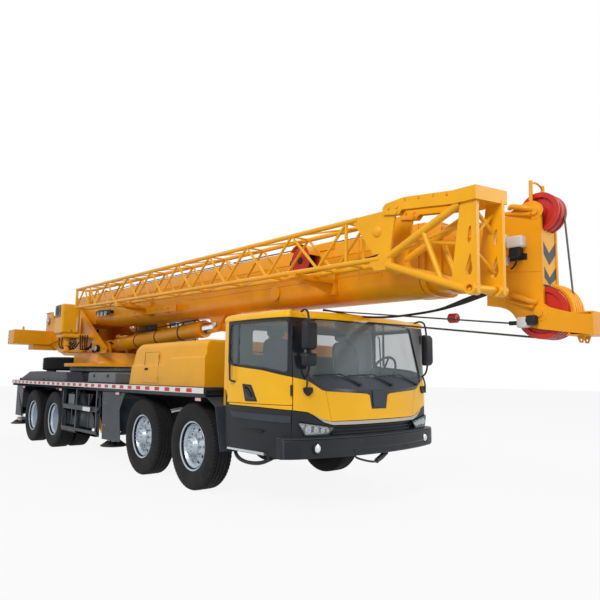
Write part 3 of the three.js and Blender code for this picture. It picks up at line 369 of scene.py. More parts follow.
GREY_PLASTIC = finish("grey_plastic", (0.16, 0.17, 0.18), 0.5, mottle=0.12, grain=500, bump=0.12)
PALE_PLASTIC = finish("lip_grey", (0.50, 0.47, 0.42), 0.40, mottle=0.06)
LENS = finish("lamp_lens", (0.78, 0.80, 0.82), 0.08, metal=0.55, mottle=0.2, patches=60, bump=0.10,
    grain=90)
AMBER = finish("amber_lens", (0.80, 0.22, 0.02), 0.15, mottle=0.1)
SIDE_LENS = finish("side_lens", (0.78, 0.50, 0.46), 0.20, mottle=0.15, patches=30)
CLEAR = glass("window_glass", (0.30, 0.36, 0.38), 0.22)


# ------------------------------------------------------------------ pieces
def make(name, parts, body, replaces=(), place=carrier, bevel=0.0, smooth=32, thick=0.0):
    """One finished piece from (finish, shape) pairs, in the frame that place gives, riding on a body."""
    finishes, points, faces, index, start = [], [], [], [], 0
    for material, part in parts:
        verts, cells = joined(part) if isinstance(part, list) else part
        if material not in finishes:
            finishes.append(material)
        points.append(place(np.asarray(verts, float)))
        faces += [[i + start for i in cell] for cell in cells]
        index += [finishes.index(material)] * len(cells)
        start += len(verts)
    mesh = bpy.data.meshes.new(name)
    mesh.from_pydata(np.concatenate(points), [], faces)
    mesh.polygons.foreach_set("material_index", np.array(index, dtype=np.int32))
    for material in finishes:
        mesh.materials.append(material)
    soft = bmesh.new()
    soft.from_mesh(mesh)
    bmesh.ops.recalc_face_normals(soft, faces=soft.faces)
    open_edges = [edge.index for edge in soft.edges if edge.is_boundary]
    soft.to_mesh(mesh)
    soft.free()
    mesh.shade_smooth()
    mesh.set_sharp_from_angle(angle=math.radians(smooth))
    for edge in open_edges:
        mesh.edges[edge].use_edge_sharp = True
    obj = bpy.data.objects.new(name, mesh)
    bpy.context.scene.collection.objects.link(obj)
    if thick:
        wall = obj.modifiers.new("wall", "SOLIDIFY")
        wall.thickness = thick
        wall.offset = 0
    if bevel:
        add_bevel(obj, bevel)
    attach(obj, body)
    if replaces:
        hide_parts(*replaces)
    return obj


def add_bevel(obj, width, segments=2):
    edge = obj.modifiers.new("edges", "BEVEL")
    edge.width = width
    edge.segments = segments
    edge.limit_method = "ANGLE"
    edge.angle_limit = math.radians(32)


def dressed(node, material, bevel=0.004):
    """A frame node's own shape with its edges rounded."""
    mesh = frame["nodes"][node].data.copy()
    work = bmesh.new()
    work.from_mesh(mesh)
    bmesh.ops.remove_doubles(work, verts=work.verts, dist=2e-5)
    work.to_mesh(mesh)
    work.free()
    mesh.materials.clear()
    mesh.materials.append(material)
    mesh.polygons.foreach_set("material_index", np.zeros(len(mesh.polygons), dtype=np.int32))
    mesh.shade_smooth()
    mesh.set_sharp_from_angle(angle=math.radians(32))
    obj = bpy.data.objects.new(node + "_finished", mesh)
    bpy.context.scene.collection.objects.link(obj)
    add_bevel(obj, bevel)
    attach(obj, BODY_OF[node])
    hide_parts(node)
    return obj


# ------------------------------------------------------------------ wheels
RIM_R = 0.298


def tyre(centre, lugs=0.011):
    """A tyre: bead, bulged side and shoulder round to a flat tread, grooved by four rings and
    shoulder notches."""
    half = np.array([
        (0.300, 0.115), (0.318, 0.128), (0.345, 0.142), (0.385, 0.153), (0.430, 0.1565), (0.470, 0.153),
        (0.505, 0.146),
        (0.528, 0.139), (0.541, 0.130), (0.5475, 0.118), (0.549, 0.105), (0.5495, 0.094),
        (0.5495, 0.0855),
        (0.538, 0.0825), (0.538, 0.0735), (0.550, 0.0705), (0.550, 0.050), (0.550, 0.0365),
        (0.538, 0.0335),
        (0.538, 0.0245), (0.550, 0.0215), (0.550, 0.010)])
    outline = np.concatenate([half, (half * [1, -1])[::-1]])
    inner = np.array([(0.300, -0.115), (0.292, -0.118), (0.280, -0.112), (0.280, 0.112),
        (0.292, 0.118)])
    profile = np.concatenate([outline, inner[1:]])
    count = 264
    turn = np.linspace(0, 2 * np.pi, count, endpoint=False)
    radius = np.repeat(profile[:, :1], count, 1)
    width = profile[:, 1:]
    notch = (np.arange(count) % 4 < 1)[None, :]
    shoulder = (np.abs(width) > 0.088) & (np.abs(width) < 0.150) & (radius > 0.50)
    radius = radius - lugs * (shoulder & notch)
    sipe = (np.arange(count) % 4 == 2)[None, :]
    rib = (np.abs(width) < 0.0865) & (radius > 0.545)
    radius = radius - 0.004 * (rib & sipe)
    points = np.stack([radius * np.sin(turn), np.broadcast_to(width, radius.shape),
        radius * np.cos(turn)], -1)
    points = np.concatenate([points, points[:1]]) + np.asarray(centre, float)
    return rings(points, ends=False)


def dish(radii, depths, holes, hole_r, ring_r, centre, thick=0.010):
    """A round plate with a ring of holes, its depth read off its radius."""
    outer = circle((0, 0), radii[-1], 72)
    middle_hole = circle((0, 0), radii[0], 48)
    spots = np.linspace(0, 2 * np.pi, holes, endpoint=False)
    rounds = [circle((ring_r * math.cos(a), ring_r * math.sin(a)), hole_r, 16) for a in spots]
    verts, faces = plate(outer, (-thick / 2, thick / 2), "y", [middle_hole, *rounds])
    far = np.hypot(verts[:, 0], verts[:, 2])
    verts[:, 1] += np.interp(far, radii, depths)
    return verts + np.asarray(centre, float), faces


def barrel(lip, well, centre, sides=72):
    """The rim that holds a tyre: flange, bead seat and drop well, as a closed ring."""
    profile = [(RIM_R + 0.018, lip + 0.004), (RIM_R + 0.014, lip + 0.010), (RIM_R - 0.004, lip + 0.002),
               (RIM_R - 0.014, lip - 0.028), (well, lip - 0.06), (well, -lip + 0.06),
               (RIM_R - 0.014, -lip + 0.028),
               (RIM_R - 0.004, -lip - 0.002), (RIM_R + 0.014, -lip - 0.010),
               (RIM_R + 0.018, -lip - 0.004),
               (RIM_R, -lip + 0.01), (well + 0.016, -lip + 0.07), (well + 0.016, lip - 0.07),
               (RIM_R, lip - 0.01)]
    return turned(profile, centre, "y", sides, loop=True)


def nuts(count, ring_r, depth, centre, radius=0.016):
    spots = np.linspace(0, 2 * np.pi, count, endpoint=False)
    stud = joined(turned([(radius, 0), (radius, 0.020), (radius * 0.75, 0.026)], (0, 0, 0), "y", 6),
                  turned([(radius * 0.5, 0.02), (radius * 0.5, 0.040)], (0, 0, 0), "y", 8))
    places = np.stack([ring_r * np.cos(spots), np.full(count, depth), ring_r * np.sin(spots)], 1)
    return repeated(stud, places + np.asarray(centre, float))


def front_wheel():
    """A steered wheel seen from its outer side: convex disc, hand holes, nuts and a stepped hub cap."""
    disc = dish([0.085, 0.150, 0.190, 0.235, 0.262], [0.098, 0.094, 0.072, 0.046, 0.050], 10, 0.022,
        0.212, (0, 0, 0))
    hub = turned([(0.118, 0.06), (0.118, 0.108), (0.106, 0.118), (0.098, 0.150), (0.088, 0.160),
        (0.045, 0.164),
                  (0.001, 0.164)], (0, 0, 0), "y", 40)
    drum = turned([(0.06, -0.14), (0.205, -0.14), (0.215, -0.06), (0.20, 0.02), (0.06, 0.03)],
        (0, 0, 0), "y", 48)
    return [(RUBBER, tyre((0, 0, 0))), (RIM, [barrel(0.118, 0.252, (0, 0, 0)), disc]),
            (STEEL, nuts(10, 0.150, 0.094, (0, 0, 0))),
            (RIM, [hub, nuts(8, 0.072, 0.160, (0, 0, 0), 0.009)]),
            (FRAME_BLACK, drum)]


def rear_wheel():
    """Twin wheels: the outer disc lies deep in its rim, and the planetary hub stands in the middle."""
    inner = (0, -0.3475, 0)
    disc = dish([0.118, 0.165, 0.205, 0.238, 0.262], [-0.118, -0.120, -0.096, -0.075, -0.058], 10,
        0.024, 0.205, (0, 0, 0))
    hub = turned([(0.13, -0.16), (0.13, -0.06), (0.122, -0.045), (0.112, 0.000), (0.098, 0.012),
        (0.050, 0.018),
                  (0.001, 0.018)], (0, 0, 0), "y", 40)
    drum = turned([(0.07, -0.47), (0.20, -0.47), (0.208, -0.36), (0.20, -0.20), (0.12, -0.17)],
        (0, 0, 0), "y", 48)
    return [(RUBBER, [tyre((0, 0, 0)), tyre(inner)]),
            (RIM, [barrel(0.118, 0.252, (0, 0, 0)), barrel(0.118, 0.252, inner), disc]),
            (STEEL, nuts(10, 0.165, -0.118, (0, 0, 0))),
            (RIM, [hub, nuts(8, 0.085, 0.012, (0, 0, 0), 0.009)]),
            (FRAME_BLACK, drum)]


for number, axle in enumerate(AXLES, 1):
    wheel = front_wheel() if number < 3 else rear_wheel()
    for label, side in (("right", -1), ("left", 1)):
        place = np.array([axle, side * WHEEL_Y, TYRE_R])
        parts = [(m, moved(p if side > 0 else flipped(p), place))
                 for m, p in ((m, joined(p)) for m, p in wheel)]
        node = f"wheel_{number}_{label}"
        make(node + "_finished", parts, node, replaces=[node], smooth=40)


# ------------------------------------------------------------ driver's cab: one bowed skin, cut into panels
CAB_HALF_PLAN = [(2.062, 0), (2.0494, 0.3), (2.027, 0.5), (1.9894, 0.72), (1.938, 0.94), (1.905, 1.07),
                 (1.852, 1.15), (1.76, 1.205), (1.56, 1.262), (1.2, 1.3), (0.72, 1.3), (0.66, 1.24),
                 (0.66, 0)]
_plan = eased(CAB_HALF_PLAN, 3)
_plan = _plan[np.concatenate([[True], np.linalg.norm(np.diff(_plan, axis=0), axis=1) > 1e-6])]
PLAN_U = np.concatenate([[0], np.cumsum(np.linalg.norm(np.diff(_plan, axis=0), axis=1))])
PLAN_X, PLAN_Y = _plan.T
PLAN_END = PLAN_U[-1]
_run = np.gradient(_plan, axis=0)
PLAN_NX, PLAN_NY = _run[:, 1], -_run[:, 0]
_size = np.hypot(PLAN_NX, PLAN_NY)
PLAN_NX, PLAN_NY = PLAN_NX / _size, PLAN_NY / _size
RAKE = ([1.30, 1.43, 2.13, 2.30], [0, 0.012, 0.120, 0.130])


def along_side(x):
    """How far round the plan from the middle of the front a place on the side is, from its x."""
    front = PLAN_X > 0.7
    return np.interp(-np.asarray(x, float), -PLAN_X[front], PLAN_U[front])


def along_front(y):
    """The same from a distance off the middle, to the right being positive."""
    front = PLAN_X > 1.3
    return np.sign(y) * np.interp(np.abs(y), PLAN_Y[front], PLAN_U[front])


def cab_skin(flat, inset=0.0):
    """Points of the skin: the bowed plan at a distance round it, set back by the rake at its
    height, and inset."""
    u, z = np.asarray(flat, float).T
    a = np.abs(u)
    x, y, nx, ny = (np.interp(a, PLAN_U, v) for v in (PLAN_X, PLAN_Y, PLAN_NX, PLAN_NY))
    lean = np.clip((x - 1.79) / 0.15, 0, 1)
    lean = lean * lean * (3 - 2 * lean)
    x = x - np.interp(z, *RAKE) * lean - inset * nx
    return np.stack([x, -np.sign(u + 1e-12) * (y - inset * ny), z], 1)


def inside(points, loop):
    """Which points lie in a closed loop, by counting the sides that a ray crosses."""
    a, b = loop, np.roll(loop, -1, 0)
    x, y = points[:, :1], points[:, 1:]
    spans = (a[:, 1] > y) != (b[:, 1] > y)
    with np.errstate(divide="ignore", invalid="ignore"):
        cross = (b[:, 0] - a[:, 0]) * (y - a[:, 1]) / (b[:, 1] - a[:, 1]) + a[:, 0]
    return (spans & (x < cross)).sum(1) % 2 == 1


def finer(loop, step):
    """A closed loop with points added so that no side is longer than step."""
    loop = np.asarray(loop, float)
    parts = []
    for a, b in zip(loop, np.roll(loop, -1, 0)):
        n = max(int(np.ceil(np.linalg.norm(b - a) / step)), 1)
        parts.append(a + (b - a) * np.linspace(0, 1, n, endpoint=False)[:, None])
    return np.concatenate(parts)


def rounded(loop, radius, steps=4):
    """A closed loop with its corners rounded by short curves that start a radius away."""
    loop = np.asarray(loop, float)
    out = []
    for before, point, after in zip(np.roll(loop, 1, 0), loop, np.roll(loop, -1, 0)):
        a, b = before - point, after - point
        reach_a = min(radius, np.linalg.norm(a) / 2.1)
        reach_b = min(radius, np.linalg.norm(b) / 2.1)
        p, q = point + a / np.linalg.norm(a) * reach_a, point + b / np.linalg.norm(b) * reach_b
        t = np.linspace(0, 1, steps)[:, None]
        out.append((1 - t) ** 2 * p + 2 * t * (1 - t) * point + t ** 2 * q)
    return np.concatenate(out)


def cut_sheet(outline, holes=(), step=0.07):
    """A flat sheet cut to an outline with holes, split into small triangles: points in the plane,
    and faces."""
    loops = [finer(loop, step) for loop in (outline, *holes)]
    low, high = loops[0].min(0), loops[0].max(0)
    gx, gy = np.meshgrid(np.arange(low[0] + step / 2, high[0], step),
        np.arange(low[1] + step / 2, high[1], step))
    net = np.stack([gx.ravel(), gy.ravel()], 1)
    edge = np.concatenate(loops)
    far = np.linalg.norm(net[:, None] - edge[None], axis=2).min(1) > step * 0.45
    keep = far & inside(net, loops[0])
    for hole in loops[1:]:
        keep &= ~inside(net, hole)
    points = np.concatenate([edge, net[keep]])
    edges, start = [], 0
    for loop in loops:
        i = np.arange(len(loop))
        edges += np.stack([i + start, (i + 1) % len(loop) + start], 1).tolist()
        start += len(loop)
    made = delaunay_2d_cdt([Vector(p) for p in points], edges, [], 0, 1e-6)
    flat = np.array([tuple(v) for v in made[0]])
    faces = np.array([list(f) for f in made[2]])
    centre = flat[faces].mean(1)
    keep = inside(centre, loops[0])
    for hole in loops[1:]:
        keep &= ~inside(centre, hole)
    return flat, faces[keep]


def shell(surface, outline, holes=(), step=0.07, skin_at=0.0, thick=0.02):
    """A cut sheet laid on a surface and made thick inwards: outer face, inner face and the edges
    between them."""
    flat, faces = cut_sheet(outline, holes, step)
    outer, inner = surface(flat, skin_at), surface(flat, skin_at + thick)
    count = len(flat)
    sides = np.concatenate([faces[:, [0, 1]], faces[:, [1, 2]], faces[:, [2, 0]]])
    key = {}
    for a, b in sides.tolist():
        if (b, a) in key:
            del key[(b, a)]
        else:
            key[(a, b)] = True
    rim = [[a, b, b + count, a + count] for a, b in key]
    cells = faces[:, ::-1].tolist() + (faces + count).tolist() + rim
    return np.concatenate([outer, inner]), cells


def on_side(points):
    """(x, z) on the cab's right side to (distance round the plan, z)."""
    points = np.asarray(points, float)
    return np.stack([along_side(points[:, 0]), points[:, 1]], 1)


def on_front(points):
    """(y, z) on the cab's front, right being positive, to (distance round the plan, z)."""
    points = np.asarray(points, float)
    return np.stack([along_front(points[:, 0]), points[:, 1]], 1)


DOOR_EDGE = (0.818, 1.842)
DOOR_LEVELS = (1.145, 2.109)
BELT_SIDE = [(0.80, 1.66), (0.815, 1.615), (0.86, 1.585), (0.93, 1.566), (1.46, 1.515), (1.842, 1.442)]
BELT_FRONT = [(1.13, 1.437), (1.0, 1.408), (0.90, 1.350), (0.83, 1.305), (0.78, 1.292), (0.42, 1.272),
    (0.20, 1.258),
              (0.155, 1.238)]
ROOF_EDGE = 2.098
CREASE = [(0.776, 1.291), (0.705, 0.966)]


def door_pieces(side):
    """The yellow lower leaf, the black frame round the window and the pane, for one side."""
    (x0, x1), (z0, z1) = DOOR_EDGE, DOOR_LEVELS
    belt = [(x0, 1.612), *BELT_SIDE[2:]]
    lower = on_side([(x0, z0), (x1, z0), *belt[::-1]])
    window = rounded([(0.862, 1.648), (0.900, 1.600), (1.50, 1.548), (1.795, 1.490), (1.795, 2.062),
        (0.862, 2.062)], 0.05)
    upper = on_side([*belt, (x1, z1), (x0, z1)])
    turn = (lambda p: p) if side < 0 else flipped
    place = on_side(window)
    lip = rounded([(0.850, 1.640), (0.894, 1.588), (1.50, 1.535), (1.807, 1.476), (1.807, 2.074),
        (0.850, 2.074)], 0.05)
    seal = shell(cab_skin, on_side(lip), [place], 0.07, -0.004, 0.016)
    leaf = shell(cab_skin, lower, (), 0.06, 0.0, 0.022)
    frame_part = shell(cab_skin, upper, [on_side(lip)], 0.06, 0.001, 0.030)
    inner = shell(cab_skin, on_side([(0.84, 1.17), (1.83, 1.17), (1.83, 1.455), (1.46, 1.52),
        (0.90, 1.575), (0.84, 1.62)]),
                  (), 0.08, 0.024, 0.020)
    rest = shell(cab_skin, on_side([(1.05, 1.36), (1.62, 1.36), (1.62, 1.41), (1.05, 1.41)]), (), 0.08,
        0.044, 0.035)
    recess = shell(cab_skin, on_side(rounded([(1.119, 1.362), (1.285, 1.352), (1.392, 1.168),
        (1.180, 1.166)], 0.015)),
                   (), 0.05, -0.003, 0.008)
    hollow = shell(cab_skin, on_side(rounded([(1.140, 1.345), (1.272, 1.337), (1.362, 1.185),
        (1.193, 1.183)], 0.02)),
                   (), 0.05, -0.0045, 0.002)
    pull = [cab_skin(on_side([(x, z)]), -0.028 * b)[0] for x, z, b in
            ((1.175, 1.325, 0.2), (1.19, 1.318, 1), (1.28, 1.235, 1), (1.295, 1.222, 0.2))]
    seams = shell(cab_skin, on_side([(1.012, 1.60), (1.040, 1.597), (1.040, 2.06), (1.012, 2.06)]), (),
        0.08, 0.003, 0.018)
    hinges = [tube([(1.848, -1.172, z - 0.058), (1.848, -1.172, z + 0.058)], 0.011, 12)
        for z in (1.302, 1.955)]
    label = "right" if side < 0 else "left"
    door = f"door_{label}"
    make(door + "_finished",
         [(CAB_YELLOW, turn(leaf)), (BLACK, [turn(p) for p in (frame_part, recess)]),
          (GLOSS_BLACK, [turn(p) for p in (seal, seams, hollow)]),
          (GREY_PLASTIC, [turn(inner), turn(rest)]),
          (BLACK, [turn(tube(eased(pull, 2), 0.009, 8)), *[turn(h) for h in hinges]])],
         door, replaces=[door])
    make(f"door_glass_{label}_finished",
        [(CLEAR, turn(shell(cab_skin, place, (), 0.08, 0.010, 0.006)))],
         door, replaces=[f"door_glass_{label}"])


def cab_panels():
    """Everything of the cab that doesn't open, as panels cut from the same skin."""
    (x0, x1), (z0, z1) = DOOR_EDGE, DOOR_LEVELS
    gap = 0.007
    rear_post = on_side([(0.72, 1.29), (0.780, 1.283), (0.795, 1.250), (x0 - gap, 1.222),
        (x0 - gap, ROOF_EDGE), (0.72, ROOF_EDGE)])
    sill = on_side([(0.866, 1.118), (1.47, 1.110), (1.842, 1.093), (1.842, z0 - gap),
        (0.852, z0 - gap)])
    door_front = along_side(x1 + gap)
    cheek = np.concatenate([
        [(door_front, 1.0925), (door_front, 1.440)], on_front(BELT_FRONT[:5])[:, :],
        on_front([(CREASE[0][0] + 0.005, CREASE[0][1]), (CREASE[1][0] + 0.005, CREASE[1][1]),
                  (0.80, 0.985), (0.91, 1.030), (1.0, 1.072)])])
    mask = on_front(np.concatenate([
        [CREASE[1], CREASE[0]], BELT_FRONT[5:], [(0.115, 1.100)], [(-0.115, 1.100)],
        np.array(BELT_FRONT[5:])[::-1] * [-1, 1], np.array([CREASE[0], CREASE[1]]) * [-1, 1]]))
    yellow = [paired(shell(cab_skin, rear_post, (), 0.07, 0, 0.03),
        shell(cab_skin, sill, (), 0.07, 0, 0.03),
                     shell(cab_skin, cheek, (), 0.05, 0, 0.03)),
              shell(cab_skin, mask, (), 0.06, 0.0, 0.03)]
    rear = np.array([(along_side(0.72), 1.10), (PLAN_END, 1.10), (PLAN_END, ROOF_EDGE),
        (along_side(0.72), ROOF_EDGE)])
    rear_window = rounded([(PLAN_END - 0.86, 1.72), (PLAN_END + 0.1, 1.72), (PLAN_END + 0.1, 2.03),
        (PLAN_END - 0.86, 2.03)], 0.04)
    yellow.append(paired(shell(cab_skin, rear, [np.minimum(rear_window, [PLAN_END - 0.004, 9])], 0.09,
        0, 0.03)))

    opening = rounded(on_front([(-0.985, 1.430), (0.985, 1.430), (0.862, 2.085), (-0.862, 2.085)]),
        0.07, 5)
    band = np.concatenate([
        [(door_front, 1.440)], on_front(BELT_FRONT), on_front([(0.125, 1.085)]),
            on_front([(-0.125, 1.085)]),
        on_front(np.array(BELT_FRONT)[::-1] * [-1, 1]),
            [(-door_front, 1.440), (-door_front, ROOF_EDGE), (door_front, ROOF_EDGE)]])
    black = [shell(cab_skin, band, [opening], 0.06, -0.002, 0.032)]
    badge = rounded(on_front([(-0.118, 1.292), (0.118, 1.292), (0.100, 1.112), (-0.100, 1.112)]), 0.012)
    slate = [shell(cab_skin, badge, (), 0.05, -0.014, 0.014)]
    ledge = on_front(np.concatenate([[(0.96, 1.432), (0.90, 1.385), (0.80, 1.335), (0.42, 1.305),
        (-0.42, 1.305),
                                      (-0.80, 1.335), (-0.90, 1.385), (-0.96, 1.432)],
                                      [(-0.7, 1.445), (0.7, 1.445)]]))
    slate.append(shell(cab_skin, ledge, (), 0.06, -0.006, 0.008))
    lip = on_front([(0.93, 1.036), (0.80, 0.980), (0.70, 0.960), (0.4, 0.958), (-0.4, 0.958),
        (-0.70, 0.960),
                    (-0.80, 0.980), (-0.93, 1.036), (-0.80, 0.955), (-0.69, 0.925), (-0.4, 0.922),
                    (0.4, 0.922),
                    (0.69, 0.925), (0.80, 0.955)])
    pale = [shell(cab_skin, lip, (), 0.05, -0.012, 0.020)]

    low_side = on_side([(0.79, 0.66), (0.80, 0.60), (1.835, 0.585), (1.835, 1.088), (1.47, 1.103),
        (0.875, 1.110), (0.80, 1.262),
                        (0.76, 1.262), (0.78, 1.0)])
    corner_piece = np.concatenate([
        [(along_side(1.84), 0.59), (along_side(1.84), 1.087)],
        on_front([(1.0, 1.066), (0.91, 1.022), (0.80, 0.968), (0.685, 0.915), (0.685, 0.905),
            (1.10, 0.975), (1.03, 0.815),
                  (0.76, 0.815), (0.70, 0.80), (0.70, 0.79), (0.95, 0.59)])])
    black += [paired(shell(cab_skin, low_side, (), 0.08, 0.004, 0.03),
        shell(cab_skin, corner_piece, (), 0.06, 0.004, 0.03))]
    fold = on_side([(0.90, 1.045), (1.83, 1.030), (1.83, 0.955), (0.93, 0.975)])
    slate.append(paired(shell(cab_skin, fold, (), 0.08, -0.004, 0.008)))
    slot = on_front([(-0.72, 0.925), (0.72, 0.925), (0.72, 0.80), (-0.72, 0.80)])
    black.append(shell(cab_skin, slot, (), 0.08, 0.060, 0.02))
    bars = [shell(cab_skin, on_front([(-0.68, z), (0.68, z), (0.68, z + 0.014), (-0.68, z + 0.014)]),
        (), 0.08, 0.030, 0.03)
            for z in (0.822, 0.857, 0.892)]
    floor = plate([(0.70, -1.26), (1.50, -1.24), (1.80, -1.12), (1.95, -0.85), (2.01, 0), (1.95, 0.85),
        (1.80, 1.12),
                   (1.50, 1.24), (0.70, 1.26)], (1.092, 1.134), "z")
    make("cab_skin", [(CAB_YELLOW, yellow), (GLOSS_BLACK, black[:1]), (BLACK, black[1:] + bars),
        (SLATE, slate),
                      (PALE_PLASTIC, pale), (GREY_PLASTIC, floor)], "carrier",
                      replaces=["cab_shell"])

    lining = []
    for outline, holes in ((rear_post, ()), (rear, [np.minimum(rear_window, [PLAN_END - 0.004, 9])])):
        lining.append(paired(shell(cab_skin, outline, holes, 0.10, 0.034, 0.010)))
    make("cab_lining", [(GREY_PLASTIC, lining)], "carrier")
    make("windscreen_finished", [(CLEAR, shell(cab_skin, opening, (), 0.07, 0.010, 0.006))], "carrier",
         replaces=["windscreen"])
    edge = finer(np.minimum(rear_window, [PLAN_END - 0.004, 9]), 0.1)
    make("cab_rear_glass", [(CLEAR, paired(shell(cab_skin, edge, (), 0.1, 0.012, 0.005)))], "carrier")


def cab_roof():
    """The cap: loops of the plan pulled in and up round its edge, then shrunk towards the middle."""
    u = np.concatenate([-PLAN_U[::-1], PLAN_U[1:-1]])
    rows = []
    for z, inset in ((2.097, 0.040), (2.097, 0.0), (2.100, -0.005), (2.125, -0.006), (2.150, 0.004),
        (2.170, 0.022),
                     (2.183, 0.050), (2.190, 0.085)):
        rows.append(cab_skin(np.stack([u, np.full(len(u), z)], 1), inset))
    top = rows[-1]
    for share, z in ((0.88, 2.193), (0.7, 2.196), (0.45, 2.199), (0.2, 2.200)):
        rows.append(np.stack([1.33 + (top[:, 0] - 1.33) * share, top[:, 1] * share, np.full(len(u), z)],
            1))
    underside = plate([(0.70, -1.25), (1.50, -1.22), (1.80, -0.9), (1.80, 0.9), (1.50, 1.22),
        (0.70, 1.25)], (2.098, 2.112), "z")
    make("cab_roof", [(CAB_YELLOW, rings(np.array(rows))), (GREY_PLASTIC, underside)], "carrier")


def mirror_head(x, y, low, high, half, deep=0.075):
    """A mirror housing: rounded outline seen from the front, bulged forward, flat and bright behind."""
    outline = rounded([(y - half, low), (y + half, low), (y + half, high), (y - half, high)], 0.04, 5)
    centre = outline.mean(0)
    rows = []
    for share, out in ((0.55, deep), (0.85, deep * 0.82), (0.97, deep * 0.5), (1.0, deep * 0.2),
        (1.0, 0.0)):
        loop = centre + (outline - centre) * share
        rows.append(np.stack([np.full(len(loop), x + out), loop[:, 0], loop[:, 1]], 1))
    bright = plate(centre + (outline - centre) * 0.9, (x - 0.004, x + 0.004), "x")
    return rings(np.array(rows)), bright


